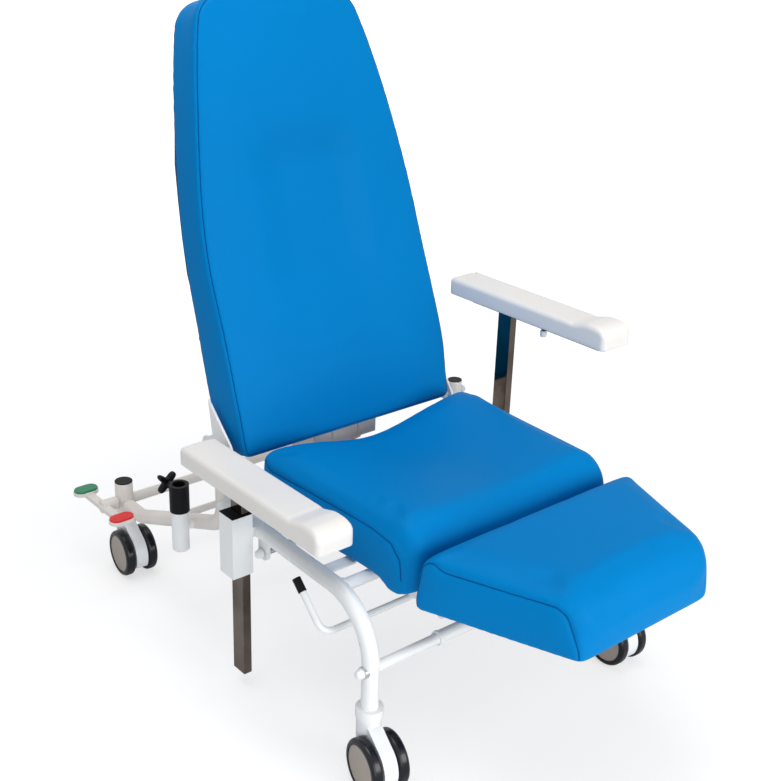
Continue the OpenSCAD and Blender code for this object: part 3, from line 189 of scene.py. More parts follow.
# Armrest pads, and how much higher the right one stands
PAD_L, PAD_W, PAD_T = 0.419, 0.0765, 0.035
PAD_X, PAD_REAR, PAD_LOW = 0.3259, 0.1625, 0.415
PAD_FRONT = PAD_REAR - PAD_L
PAD_FRONT_R, PAD_REAR_R, PAD_TOP_R, PAD_LOW_R = 0.011, 0.008, 0.009, 0.003
PAD_NOSE_R, PAD_DROP, PAD_HUMP, PAD_RISE, PAD_ARCH = 0.031, 0.62, 0.0085, 0.040, 0.0012
PAD_CREASE, PAD_CREASE_DEPTH, PAD_CREASE_W = 0.082, 0.0012, 0.005
PAD_STEP, PAD_RINGS = 0.004, 12
ARM_TRAVEL = 0.2025
POCKET_WALL, POCKET_GAP = 0.014, 0.002
STUD_X, STUD_Y, STUD_SINK = 0.310, -0.087, 0.001

# Clamping knob: its hub and the reach of its arms, its thickness, edge and waist
KNOB_HUB, KNOB_ARM, KNOB_TAPER = 0.0095, 0.0145, 3.0
KNOB_T, KNOB_EDGE, KNOB_WAIST, KNOB_POINTS = 0.014, 0.003, -0.0004, 120
KNOB_NECK = [(0, 0.006), (0.004, 0.0075), (0.012, 0.0078), (0.0125, 0.0078)]
KNOB_NECK_IN, KNOB_STUD = 0.008, [(0, 0.0038), (0.02, 0.0038)]

# Pedal pads: edge, how far the underside lies inside the node, and the ribs
PEDAL_EDGE, PEDAL_LIFT, RIB_HEIGHT, RIB_PITCH = 0.0018, 0.0003, 0.0003, 0.004

CASTERS = ["front_left", "front_right", "rear_left", "rear_right"]


# Materials

def principled(name):
    look = bpy.data.materials.new(name)
    look.use_nodes = True
    return look, look.node_tree, look.node_tree.nodes["Principled BSDF"]


def link(tree, source, target):
    tree.links.new(source, target)


def node(tree, kind, **values):
    made = tree.nodes.new(kind)
    for key, value in values.items():
        if key in made.inputs:
            made.inputs[key].default_value = value
        else:
            setattr(made, key, value)
    return made


def surface(name, colour, rough, metal=0.0, grain=900, grain_depth=0.0001, cells=False,
            mottle=0.06, mottle_scale=9, specular=0.5):
    """Material with a fine grain in its relief, and slow changes of its colour and roughness."""
    look, tree, shader = principled(name)
    shader.inputs["Metallic"].default_value = metal
    shader.inputs["Specular IOR Level"].default_value = specular
    place = node(tree, "ShaderNodeTexCoord")
    slow = node(tree, "ShaderNodeTexNoise", Scale=mottle_scale, Detail=3.0)
    link(tree, place.outputs["Object"], slow.inputs["Vector"])
    tint = node(tree, "ShaderNodeValToRGB")
    for element, position, share in zip(tint.color_ramp.elements, MOTTLE_RANGE, (1 - mottle, 1 + mottle)):
        element.position = position
        element.color = [min(c * share, 1) for c in colour] + [1]
    link(tree, slow.outputs["Fac"], tint.inputs["Fac"])
    link(tree, tint.outputs["Color"], shader.inputs["Base Color"])
    spread = node(tree, "ShaderNodeMapRange")
    spread.inputs["To Min"].default_value = rough * ROUGH_CHANGE[0]
    spread.inputs["To Max"].default_value = rough * ROUGH_CHANGE[1]
    link(tree, slow.outputs["Fac"], spread.inputs["Value"])
    link(tree, spread.outputs["Result"], shader.inputs["Roughness"])
    if cells:
        fine = node(tree, "ShaderNodeTexVoronoi", feature="DISTANCE_TO_EDGE", Scale=grain)
        height = fine.outputs["Distance"]
    else:
        fine = node(tree, "ShaderNodeTexNoise", Scale=grain, Detail=2.0)
        height = fine.outputs["Fac"]
    link(tree, place.outputs["Object"], fine.inputs["Vector"])
    relief = node(tree, "ShaderNodeBump", Strength=RELIEF, Distance=grain_depth)
    link(tree, height, relief.inputs["Height"])
    link(tree, relief.outputs["Normal"], shader.inputs["Normal"])
    return look


vinyl = surface("blue_vinyl", (0.0, 0.198, 0.52), 0.5, grain=700, grain_depth=0.00025, cells=True,
                mottle=0.04, mottle_scale=3, specular=0.04)
thread = surface("seam_thread", (0.0, 0.070, 0.24), 0.6, grain=1500, grain_depth=0.0003, specular=0.05)
board = surface("black_board", (0.03, 0.03, 0.032), 0.6, grain=400)
paint = surface("white_powder_coat", (0.88, 0.89, 0.88), 0.28, grain=450, grain_depth=0.00012, mottle=0.02)
# painted shade and painted reflection: the rear parts are white paint, and this darker, warmer tone copies
# their shade and the floor's warm reflection
paint_painted_warm_reflection = surface("white_coat_painted_warm_reflection", (0.84, 0.79, 0.73), 0.3, grain=450, grain_depth=0.00012, mottle=0.05)
foam_skin = surface("arm_pad_skin", (0.84, 0.81, 0.765), 0.45, grain=800, grain_depth=0.0002, mottle=0.02)
# painted reflection: the steel's dark brown base colour and its strong slow colour changes copy a reflection
# of dark brown surroundings; the metal is not brown
chrome = surface("polished_steel_painted_dark_reflection", (0.15, 0.118, 0.096), 0.10, metal=1.0, grain=60, mottle=0.4)
# painted shade and painted reflection: the back frame is white paint, and this beige-brown copies its shade
# and a brown reflection where it shows between seat and back
paint_painted_shade_brown_reflection = surface("white_coat_painted_shade_brown_reflection", (0.68, 0.59, 0.50), 0.35, grain=450, grain_depth=0.00012,
                      mottle=0.2)
zinc = surface("zinc_plate", (0.62, 0.62, 0.60), 0.3, metal=1.0, grain=500)
black = surface("black_plastic", (0.006, 0.006, 0.007), 0.45, grain=900, specular=0.12)
white_plastic = surface("white_plastic", (0.86, 0.87, 0.88), 0.3, grain=300, mottle=0.02)
tyre_look = surface("tyre_rubber", (0.005, 0.006, 0.010), 0.22, grain=250, grain_depth=0.00015, specular=0.35)
disc_look = surface("wheel_disc", (0.40, 0.34, 0.29), 0.35, grain=300, mottle=0.08)
green = surface("green_pad", (0.005, 0.23, 0.11), 0.4, grain=700, grain_depth=0.0003)
red = surface("red_pad", (0.80, 0.012, 0.015), 0.4, grain=700, grain_depth=0.0003)
spring_paint = surface("spring_paint", (0.02, 0.02, 0.02), 0.25, grain=300)


# Shapes

def rounded(corners, step=0.005, closed=True):
    """Evenly spaced points through corners (a, b, radius), made round; a closed outline goes anticlockwise."""
    points = []
    count = len(corners)
    for i, (a, b, radius) in enumerate(corners):
        here = np.array([a, b])
        if not closed and i in (0, count - 1):
            points.append(here)
            continue
        before = np.array(corners[i - 1][:2]) - here
        after = np.array(corners[(i + 1) % count][:2]) - here
        length_a, length_b = np.linalg.norm(before), np.linalg.norm(after)
        before, after = before / length_a, after / length_b
        half = math.acos(np.clip(before @ after, -1, 1)) / 2
        cut = min(radius / math.tan(half), MOST_CUT * length_a, MOST_CUT * length_b)
        radius = cut * math.tan(half)
        middle = (before + after) / np.linalg.norm(before + after) * radius / math.sin(half)
        first, last = before * cut - middle, after * cut - middle
        start = math.atan2(first[1], first[0])
        turn = (math.atan2(last[1], last[0]) - start + math.pi) % (2 * math.pi) - math.pi
        for t in np.linspace(0, 1, max(3, math.ceil(abs(turn) / ARC_STEP))):
            angle = start + t * turn
            points.append(here + middle + radius * np.array([math.cos(angle), math.sin(angle)]))
    points = np.array(points + points[:1] if closed else points)
    along = np.concatenate([[0], np.cumsum(np.linalg.norm(np.diff(points, axis=0), axis=1))])
    spaced = np.linspace(0, along[-1], max(8, round(along[-1] / step)) + 1)
    if closed:
        spaced = spaced[:-1]
    return np.column_stack([np.interp(spaced, along, points[:, k]) for k in range(2)])


def outward(outline):
    """Normals of an anticlockwise outline."""
    tangent = np.roll(outline, -1, 0) - np.roll(outline, 1, 0)
    normal = np.column_stack([tangent[:, 1], -tangent[:, 0]])
    return normal / np.linalg.norm(normal, axis=1)[:, None]


def boxed(outline, spine, levels, place, close, bulge=0.0, weight=1.0):
    """Rings over a boxed form. A level is (u, e, inset), and close rings close each end in on the spine.
    place gives the points, and weight is how much of the inset each point of the outline takes."""
    start, end = np.array(spine[0]), np.array(spine[1])
    along = end - start
    normal = outward(outline) * np.broadcast_to(weight, len(outline))[:, None]
    stations = max(1, round(np.linalg.norm(along) / np.linalg.norm(outline[1] - outline[0])))

    def ring(level, s=1.0):
        u, e, inset = level
        edge = outline - inset * normal
        reach = np.clip(((edge - start) @ along) / (along @ along), 0, 1)[:, None]
        if s == 0:
            reach = np.round(reach * stations) / stations
        foot = start + reach * along
        ab = foot + (edge - foot) * s
        return place(ab[:, 0], ab[:, 1], u, e + math.copysign(bulge * (1 - s * s), u))

    shares = np.linspace(0, 1, close + 1)[:-1]
    return ([ring(levels[0], s) for s in shares] + [ring(level) for level in levels]
            + [ring(levels[-1], s) for s in shares[::-1]])


def edge_levels(u, radius, steps=EDGE_STEPS):
    """Levels round an edge from the wall, or back to it where u is negative."""
    turns = [math.pi / 2 * k / steps for k in range(steps + 1)]
    levels = [(u, math.copysign(radius * math.sin(t), u), radius * (1 - math.cos(t))) for t in turns]
    return levels if u > 0 else levels[::-1]


def finish_piece(obj, look, body, slot, stands_for=()):
    obj.data.materials.clear()
    obj.data.materials.append(look)
    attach(obj, body)
    if stands_for:
        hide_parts(*stands_for)


def new_object(name, data):
    obj = bpy.data.objects.new(name, data)
    bpy.context.scene.collection.objects.link(obj)
    return obj


def skin(name, rings, capped=False):
    """Closed mesh over rings of equally many points, capped where its ends don't close in on a line."""
    count = len(rings[0])
    faces = []
    for start in range(0, (len(rings) - 1) * count, count):
        for j in range(count):
            after = (j + 1) % count
            faces.append((start + j, start + after, start + count + after, start + count + j))
    if capped:
        faces += [tuple(range(count)), tuple(range((len(rings) - 1) * count, len(rings) * count))]
    mesh = bpy.data.meshes.new(name)
    mesh.from_pydata(np.vstack(rings).tolist(), [], faces)
    shape = bmesh.new()
    shape.from_mesh(mesh)
    bmesh.ops.remove_doubles(shape, verts=shape.verts, dist=MERGE)
    bmesh.ops.recalc_face_normals(shape, faces=shape.faces)
    for face in shape.faces:
        face.smooth = True
    shape.to_mesh(mesh)
    shape.free()
    return new_object(name, mesh)


def sharpen(shape, limit):
    """Marks a bmesh's sharp edges and returns them."""
    sharp = []
    for face in shape.faces:
        face.smooth = True
    for edge in shape.edges:
        edge.smooth = True
        if len(edge.link_faces) == 2 and edge.calc_face_angle() > math.radians(limit):
            edge.smooth = False
            sharp.append(edge)
    return sharp


def dressed(name, look, slot, width=EDGE_BREAK):
    """Makes a piece of a CAD node's own shape with broken edges, and lets it stand for the node."""
    shape = bmesh.new()
    shape.from_mesh(nodes[name].data)
    bmesh.ops.remove_doubles(shape, verts=shape.verts, dist=CAD_MERGE)
    bmesh.ops.dissolve_limit(shape, angle_limit=math.radians(FLAT), verts=shape.verts, edges=shape.edges)
    bmesh.ops.bevel(shape, geom=sharpen(shape, CAD_SHARP), offset=width, segments=2, profile=0.5,
                    affect="EDGES", clamp_overlap=True)
    sharpen(shape, FINISH_SHARP)
    mesh = bpy.data.meshes.new(name + "_finish")
    shape.to_mesh(mesh)
    shape.free()
    obj = new_object(name + "_finish", mesh)
    obj.modifiers.new("weighted", "WEIGHTED_NORMAL").keep_sharp = True
    finish_piece(obj, look, nodes[name]["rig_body"], slot, [name])


def tube_rings(path, radius, sides):
    """Rings round a path of points, square to it."""
    path = np.array(path, float)
    tangent = np.gradient(path, axis=0)
    tangent /= np.linalg.norm(tangent, axis=1)[:, None]
    normal = np.cross(tangent[0], (0, 0, 1) if abs(tangent[0][2]) < 0.9 else (1, 0, 0))
    rings = []
    turns = np.arange(sides) * 2 * math.pi / sides
    for point, direction in zip(path, tangent):
        normal = normal - direction * (normal @ direction)
        normal /= np.linalg.norm(normal)
        side = np.cross(direction, normal)
        rings.append(point + radius * (np.outer(np.cos(turns), normal) + np.outer(np.sin(turns), side)))
    return rings


def turned(name, profile, base, direction, sides=48):
    """Closed form turned round an axis: profile is (distance along, radius), from end to end."""
    direction = Vector(direction).normalized()
    turn = direction.to_track_quat("Z", "Y").to_matrix()
    turns = np.arange(sides) * 2 * math.pi / sides
    rings = []
    for along, radius in profile:
        ring = np.column_stack([radius * np.cos(turns), radius * np.sin(turns), np.full(sides, along)])
        rings.append(ring @ np.array(turn).T + np.array(base))
    return skin(name, rings, capped=True)


def joined(objects, name):
    """One piece from several meshes."""
    shape = bmesh.new()
    for obj in objects:
        part = obj.data.copy()
        part.transform(obj.matrix_world)
        shape.from_mesh(part)
        bpy.data.objects.remove(obj)
    mesh = bpy.data.meshes.new(name)
    shape.to_mesh(mesh)
    shape.free()
    return new_object(name, mesh)


# Upholstery

def evaluated(obj):
    graph = bpy.context.evaluated_depsgraph_get()
    return bpy.data.meshes.new_from_object(obj.evaluated_get(graph))


def coordinates(mesh):
    co = np.zeros(len(mesh.vertices) * 3)
    mesh.vertices.foreach_get("co", co)
    return co.reshape(-1, 3)


def set_coordinates(mesh, co):
    mesh.vertices.foreach_set("co", co.ravel())
    mesh.update()


def search_tree(points):
    tree = KDTree(len(points))
    for i, point in enumerate(points):
        tree.insert(Vector(point), i)
    tree.balance()
    return tree


def puff(obj, seams, flat, softened=2):
    """Swells a cushion as stuffing does: its seams and flat underside are held, and the panels belly out."""
    scene = bpy.context.scene
    remesh = obj.modifiers.new("voxels", "REMESH")
    remesh.mode = "VOXEL"
    remesh.voxel_size = VOXEL
    obj.data = evaluated(obj)
    obj.modifiers.clear()
    start = coordinates(obj.data)
    near = search_tree([p for seam in seams for p in seam])
    group = obj.vertex_groups.new(name="held")
    for i, point in enumerate(start):
        gap = near.find(Vector(point))[2]
        weight = max(0.0, 1.0 - max(gap - VOXEL / 2, 0) / (1.5 * VOXEL))
        weight = 1.0 if flat(point) else weight
        if weight > 0:
            group.add([i], weight, "REPLACE")
    cloth = obj.modifiers.new("stuffing", "CLOTH")
    cloth.settings.use_pressure = True
    cloth.settings.uniform_pressure_force = PRESSURE
    cloth.settings.effector_weights.gravity = 0.0
    cloth.settings.vertex_group_mass = "held"
    cloth.settings.quality = CLOTH_QUALITY
    cloth.collision_settings.use_collision = False
    for step in range(1, CLOTH_FRAMES + 1):
        scene.frame_set(step)
    moved = coordinates(evaluated(obj)) - start
    scene.frame_set(1)
    obj.modifiers.clear()
    length = np.linalg.norm(moved, axis=1)
    start = start + moved * np.minimum(1, SWELL / np.maximum(length, 1e-9))[:, None]
    set_coordinates(obj.data, start)
    smooth = obj.modifiers.new("smooth", "SMOOTH")
    smooth.iterations = softened
    smooth.factor = 0.5
    finer = obj.modifiers.new("finer", "SUBSURF")
    finer.levels = finer.render_levels = 1
    obj.data = evaluated(obj)
    obj.modifiers.clear()
    for face in obj.data.polygons:
        face.use_smooth = True


def sew(cushion, name, path, body, closed=False):
    """Draws the surface in along a seam and lays its thread in the groove."""
    co = coordinates(cushion.data)
    near = search_tree(path)
    normals = np.array([v.normal for v in cushion.data.vertices])
    gap = np.array([near.find(Vector(p))[2] for p in co])
    co -= normals * (SEAM_DEPTH * np.exp(-(gap / SEAM_REACH) ** 2 * 2))[:, None]
    set_coordinates(cushion.data, co)
    tree = BVHTree.FromPolygons([Vector(p) for p in co], [tuple(f.vertices) for f in cushion.data.polygons])
    laid = [np.array(tree.find_nearest(Vector(p))[0]) for p in path]
    if closed:
        laid.append(laid[0])
    line = skin(name, tube_rings(laid, THREAD_R, THREAD_SIDES), capped=not closed)
    finish_piece(line, thread, body, "upholstery")


def ease(value, low, high):
    """0 below low, 1 above high, and a smooth rise between them."""
    t = np.clip((value - low) / (high - low), 0, 1)
    return t * t * (3 - 2 * t)


def side_seam(ring, outline, keep):
    """The points of a ring that lie on the kept stretch of the outline, in their order."""
    kept = [i for i in range(len(outline)) if keep(outline[i])]
    gaps = [k for k in range(len(kept) - 1) if kept[k + 1] != kept[k] + 1]
    if gaps:
        kept = kept[gaps[0] + 1:] + kept[:gaps[0] + 1]
    return [ring[i] for i in kept]


def wide_cushion(name, outline, spine, place, radius, weight, body, stands_for, flat, keep):
    """Cushion whose two side panels carry its outline, with a seam round each."""
    middle = [(u, 0.0, 0.0) for u in np.linspace(-WIDE_SPAN, WIDE_SPAN, WIDE_LEVELS)]
    levels = edge_levels(-1.0, radius) + middle + edge_levels(1.0, radius)
    rings = boxed(outline, spine, levels, place, bulge=WIDE_BULGE, close=WIDE_RINGS, weight=weight)
    seams = [side_seam(rings[k], outline, keep) for k in (WIDE_RINGS, -1 - WIDE_RINGS)]
    cushion = skin(name, rings)
    puff(cushion, seams, flat, WIDE_SOFTENED)
    finish_piece(cushion, vinyl, body, "upholstery", [stands_for])
    for seam, (_, hand) in zip(seams, SIDES):
        sew(cushion, f"{name}_seam_{hand}", seam, body)


def seat():
    outline = rounded(SEAT_OUTLINE)
    least, more = SEAT_TUCK
    weight = least + more * np.where(outline[:, 0] < SEAT_LIP_END,
                                     ease(outline[:, 1], SEAT_LIP_LOW + 0.004, SEAT_LOW),
                                     ease(outline[:, 1], SEAT_LOW + 0.005, SEAT_REAR_TOP - 0.02))
    weight *= 1 - SEAT_TUCK_REAR * ease(outline[:, 0], SEAT_REAR - 0.05, SEAT_REAR)
    from_bend = np.hypot(outline[:, 0] - SEAT_FRONT - SEAT_BEND_IN, outline[:, 1] - SEAT_TOP + SEAT_BEND_IN)
    weight *= 1 + SEAT_TUCK_BEND * np.exp(-(from_bend / SEAT_BEND_REACH) ** 2)

    def place(y, z, u, e):
        share = (SEAT_REAR - y) / (SEAT_REAR - SEAT_FRONT)
        half = SEAT_REAR_HALF + (SEAT_FRONT_HALF - SEAT_REAR_HALF) * share - SEAT_BOW * np.sin(math.pi * share)
        into = np.clip(1 - (SEAT_REAR - y) / SEAT_CORNER_R, 0, 1)
        half = half - SEAT_CORNER * (1 - np.sqrt(1 - into ** 2))
        x = u * (half - SEAT_EDGE_R) + e
        arch = np.maximum(1 - (x / half) ** 2, 0)
        top = np.clip((z - SEAT_LOW) / (SEAT_TOP - SEAT_LOW), 0, 1)
        rear = 1 - ease(share, 0.0, SEAT_HOLLOW_END)
        left = 1 - SEAT_DISH_LOSS * ease(share, *SEAT_DISH_FADE)
        dish = SEAT_DISH * np.exp(-(x / SEAT_DISH_W) ** 2) * top * left
        skirt = np.interp(y, *zip(*SEAT_SKIRT)) * ease(np.abs(x) - half, *SEAT_SKIRT_EDGE) * (1 - top)
        return np.column_stack([x, y - SEAT_HOLLOW * arch * rear, z - dish - skirt])

    def on_board(point):
        return point[2] < SEAT_LOW + HELD_ABOVE and point[1] > SEAT_LIP_END - 0.004

    def seamed(point):
        return not (point[1] < SEAT_LOW + 0.006 and point[0] < SEAT_REAR - 0.008)

    middle = (SEAT_LOW + SEAT_REAR_TOP) / 2
    spine = [(SEAT_REAR - SEAT_SPINE_REAR, middle), (SEAT_FRONT + SEAT_SPINE_FRONT, middle)]
    wide_cushion("seat_upholstery", outline, spine, place, SEAT_EDGE_R, weight, "root", "seat_cushion",
                 on_board, seamed)


def rest_low(y):
    """Height of the legrest's underside."""
    share = np.clip((y - REST_FRONT) / (REST_REAR - REST_FRONT), 0, 1)
    return REST_FRONT_LOW + (REST_REAR_LOW - REST_FRONT_LOW) * share


def legrest():
    outline = rounded(REST_OUTLINE)
    least, more = REST_TUCK
    weight = least + more * ease(outline[:, 1], REST_REAR_LOW, REST_TUCK_TOP)
    weight *= 1 - REST_TUCK_REAR * ease(outline[:, 0], *REST_TUCK_EDGE)

    def place(y, z, u, e):
        share = (REST_REAR - y) / (REST_REAR - REST_FRONT)
        half = REST_REAR_HALF + (REST_FRONT_HALF - REST_REAR_HALF) * share
        low = REST_REAR_LOW + (REST_FRONT_LOW - REST_REAR_LOW) * share
        top = np.clip((z - low) / (REST_TOP - low), 0, 1)
        x = u * (half - REST_EDGE_R) + e
        skirt = REST_SKIRT * ease(np.abs(x) - half, *REST_SKIRT_EDGE) * (1 - top) * (1 - share)
        return np.column_stack([x, y, z + REST_CROWN * np.maximum(1 - (x / half) ** 2, 0) * top - skirt])

    wide_cushion("legrest_upholstery", outline, REST_SPINE, place, REST_EDGE_R, weight, "legrest",
                 "legrest_cushion", lambda point: point[2] < rest_low(point[1]) + HELD_ABOVE,
                 lambda point: point[1] > rest_low(point[0]) + 0.001)


def eased(s, table, reach):
    """Value of a table at a distance along the back, with its bends eased."""
    spread = np.linspace(-reach, reach, EASE_SAMPLES)[:, None]
    return np.interp(np.maximum(s + spread, 0), *zip(*table)).mean(0)


def back():
    stations = np.linspace(0, BACK_L, BACK_STATIONS)
    halves = [float(h) for h in eased(stations, BACK_HALVES, HALF_EASE)]
    sides = [(h, float(s), BACK_SIDE_R) for h, s in zip(halves[2:-3], stations[2:-3])]
    low_half, top_half = halves[0], halves[-1]
    outline = rounded([(-low_half, BACK_LOW, BACK_LOW_R), (low_half, BACK_LOW, BACK_LOW_R)] + sides
                      + [(top_half, BACK_L, BACK_TOP_R), (-top_half, BACK_L, BACK_TOP_R)]
                      + [(-h, s, r) for h, s, r in sides[::-1]])
    turn = np.array(Matrix.Rotation(-BACK_TILT, 3, "X"))

    def place(x, s, u, e):
        # u is -1 on the rear face and 1 on the front face
        front, rear = eased(s, BACK_FACE, FACE_EASE) + BACK_FRONT_R, BACK_REAR - BACK_REAR_R
        depth = rear + (front - rear) * (1 + u) / 2 - e
        return np.column_stack([x, depth, s]) @ turn.T + np.array(BACK_ORIGIN)

    def in_back(points):
        return (np.asarray(points) - np.array(BACK_ORIGIN)) @ turn

    wall = [(u, 0.0, BACK_WALL_TUCK * (1 - u * u)) for u in BACK_WALL]
    levels = edge_levels(-1.0, BACK_REAR_R) + wall + edge_levels(1.0, BACK_FRONT_R)
    rings = boxed(outline, BACK_SPINE, levels, place, close=BACK_RINGS)
    front = list(rings[-1 - (BACK_RINGS + EDGE_STEPS - BACK_SEAM_STEP)])
    rear = list(rings[BACK_RINGS + EDGE_STEPS])
    cushion = skin("back_upholstery", rings)
    puff(cushion, [front, rear], lambda point: in_back(point)[1] > BACK_REAR - 0.004)

    co = coordinates(cushion.data)
    x, depth, s = in_back(co).T
    half = eased(s, BACK_HALVES, HALF_EASE)
    crown = np.clip(1 - (x / half) ** 2, 0, 1) * ease(s, BACK_LOW, CROWN_LOW) \
        * (1 - ease(s, BACK_L - CROWN_FADE, BACK_L))
    panel = (1 - ease(np.abs(x), PANEL_HALF - PANEL_FADE, PANEL_HALF + PANEL_FADE)) \
        * ease(s, PANEL_LOW - 2 * PANEL_FADE, PANEL_LOW + 2 * PANEL_FADE) \
        * (1 - ease(s, PANEL_HIGH - PANEL_FADE, PANEL_HIGH + PANEL_FADE))
    push = (BACK_CROWN * crown - PANEL_DEPTH * panel) * (1 - ease(depth, *FACE_DEPTH))
    set_coordinates(cushion.data, co - push[:, None] * turn[:, 1])
    finish_piece(cushion, vinyl, "back", "upholstery", ["back_cushion"])
    sew(cushion, "back_seam_front", front, "back", closed=True)
    sew(cushion, "back_seam_rear", rear, "back", closed=True)


# Armrests

def arm_pad(side, name):
    """Moulded pad with a raised nose; the left one has a pocket over the upright's top."""
    half = PAD_W / 2
    outline = rounded([(-half, PAD_FRONT, PAD_FRONT_R), (half, PAD_FRONT, PAD_FRONT_R),
                       (half, PAD_REAR, PAD_REAR_R), (-half, PAD_REAR, PAD_REAR_R)], step=PAD_STEP)

    def place(x, y, u, e):
        nose = y - PAD_FRONT
        crease = PAD_CREASE_DEPTH * np.exp(-((nose - PAD_CREASE) / PAD_CREASE_W) ** 2)
        hump = PAD_HUMP * ease(PAD_CREASE - nose, 0, PAD_RISE) - crease
        reach = np.maximum(PAD_NOSE_R - nose, 0)
        drop = PAD_DROP * (PAD_NOSE_R - np.sqrt(PAD_NOSE_R ** 2 - np.minimum(reach, PAD_NOSE_R) ** 2))
        if abs(u) == 1:
            share = ((PAD_T - PAD_TOP_R if u > 0 else PAD_LOW_R) + e) / PAD_T
        else:
            share = (PAD_LOW_R + (PAD_T - PAD_TOP_R - PAD_LOW_R) * (1 + u) / 2) / PAD_T
        arch = PAD_ARCH * (1 - (x / half) ** 2) * max(share, 0) ** 4
        return np.column_stack([side * PAD_X + x, y, PAD_LOW + (PAD_T + hump - drop) * share + arch])

    levels = edge_levels(-1.0, PAD_LOW_R, steps=3) + [(u, 0.0, 0.0) for u in (-0.7, -0.3, 0.2, 0.7)] \
        + edge_levels(1.0, PAD_TOP_R, steps=7)
    rings = boxed(outline, [(0, PAD_FRONT + half), (0, PAD_REAR - half)], levels, place, close=PAD_RINGS)
    pad = skin(name + "_form", rings)
    if side > 0:
        pad.data.transform(Matrix.Translation((0, 0, ARM_TRAVEL)))
    else:
        cut_pocket(pad)
    finish_piece(pad, foam_skin, nodes[name]["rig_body"], "arm_pad", [name])


def cut_pocket(pad):
    """Cuts the pocket that clears the upright's top out of a pad's underside."""
    outer = UPRIGHT_X + TUBE_R + POCKET_WALL + POCKET_GAP
    inner = PAD_X - PAD_W / 2 - POCKET_GAP
    low, high = PAD_LOW - POCKET_GAP, UPRIGHT_TOP + 2 * POCKET_GAP
    half = TUBE_R + POCKET_GAP
    mesh = bpy.data.meshes.new("pocket")
    shape = bmesh.new()
    bmesh.ops.create_cube(shape, size=1)
    shape.to_mesh(mesh)
    shape.free()
    mesh.transform(Matrix.Translation((-(outer + inner) / 2, HINGE_Y, (low + high) / 2))
                   @ Matrix.Diagonal((outer - inner, 2 * half, high - low, 1)))
    cutter = new_object("pocket", mesh)
    cut = pad.modifiers.new("pocket", "BOOLEAN")
    cut.object = cutter
    cut.operation = "DIFFERENCE"
    cut.solver = "EXACT"
    pad.data = evaluated(pad)
    pad.modifiers.clear()
    bpy.data.objects.remove(cutter)
    shape = bmesh.new()
    shape.from_mesh(pad.data)
    sharpen(shape, POCKET_SHARP)
    shape.to_mesh(pad.data)
    shape.free()


# Frame

def rear_leg(side, name):
    """Upright, falling tube and housing, with smooth bends."""
    run = math.hypot(UPRIGHT_X - HOUSING_X, HOUSING_Y - HINGE_Y)
    fall = run * (FALL_END - HINGE_Y) / (HOUSING_Y - HINGE_Y)
    line = rounded([(0, UPRIGHT_TOP, 0), (0, UPRIGHT_FOOT, REAR_BEND), (fall, LOW_RUN, REAR_BEND),
                    (run - HOUSING_R + HOUSING_OVERLAP, LOW_RUN, 0)], step=0.004, closed=False)
    path = [(side * (UPRIGHT_X + (HOUSING_X - UPRIGHT_X) * a / run),
             HINGE_Y + (HOUSING_Y - HINGE_Y) * a / run, b) for a, b in line]
    tube = skin("tube", tube_rings(path, TUBE_R, 40), capped=True)
    height, lip = HOUSING_TOP - HOUSING_LOW, HOUSING_LIP
    profile = [(0, HOUSING_R - lip), (lip / 2, HOUSING_R - lip / 3), (lip, HOUSING_R),
               (height - lip, HOUSING_R), (height - lip / 2, HOUSING_R - lip / 3), (height, HOUSING_R - lip)]
    housing = turned("housing", profile, (side * HOUSING_X, HOUSING_Y, HOUSING_LOW), (0, 0, 1))
    # the rear leg takes the white paint's painted shade and painted warm reflection
    finish_piece(joined([tube, housing], name + "_finish"), paint_painted_warm_reflection, "root", "frame", [name])


def saddle_weld(name, centre, axis, small_r, across, big_r, look=paint):
    """Weld bead where a tube along axis meets a thicker one along across, whose centre line is at centre."""
    axis, across = Vector(axis).normalized(), Vector(across).normalized()
    side = axis.cross(across).normalized()
    across = side.cross(axis).normalized()
    path = []
    for k in range(BEAD_POINTS):
        turn = 2 * math.pi * k / BEAD_POINTS
        off = small_r * math.cos(turn)
        depth = math.sqrt(max(big_r ** 2 - off ** 2, 0))
        path.append(np.array(Vector(centre) + axis * (depth + BEAD * BEAD_LIFT) + side * off
                             + across * small_r * math.sin(turn)))
    path.append(path[0])
    ripple = [1 + BEAD_RIPPLE * math.sin(BEAD_WAVES * (k % BEAD_POINTS)) for k in range(BEAD_POINTS + 1)]
    rings = [p + (ring - p) * r for ring, p, r in zip(tube_rings(path, BEAD, 8), path, ripple)]
    finish_piece(skin(name, rings), look, "root", "frame")


def rail_x(y):
    """How far from the middle plane a rail's centre line lies."""
    return UPRIGHT_X + RAIL_SPLAY * (HINGE_Y - y) / (HINGE_Y - LEG_Y)


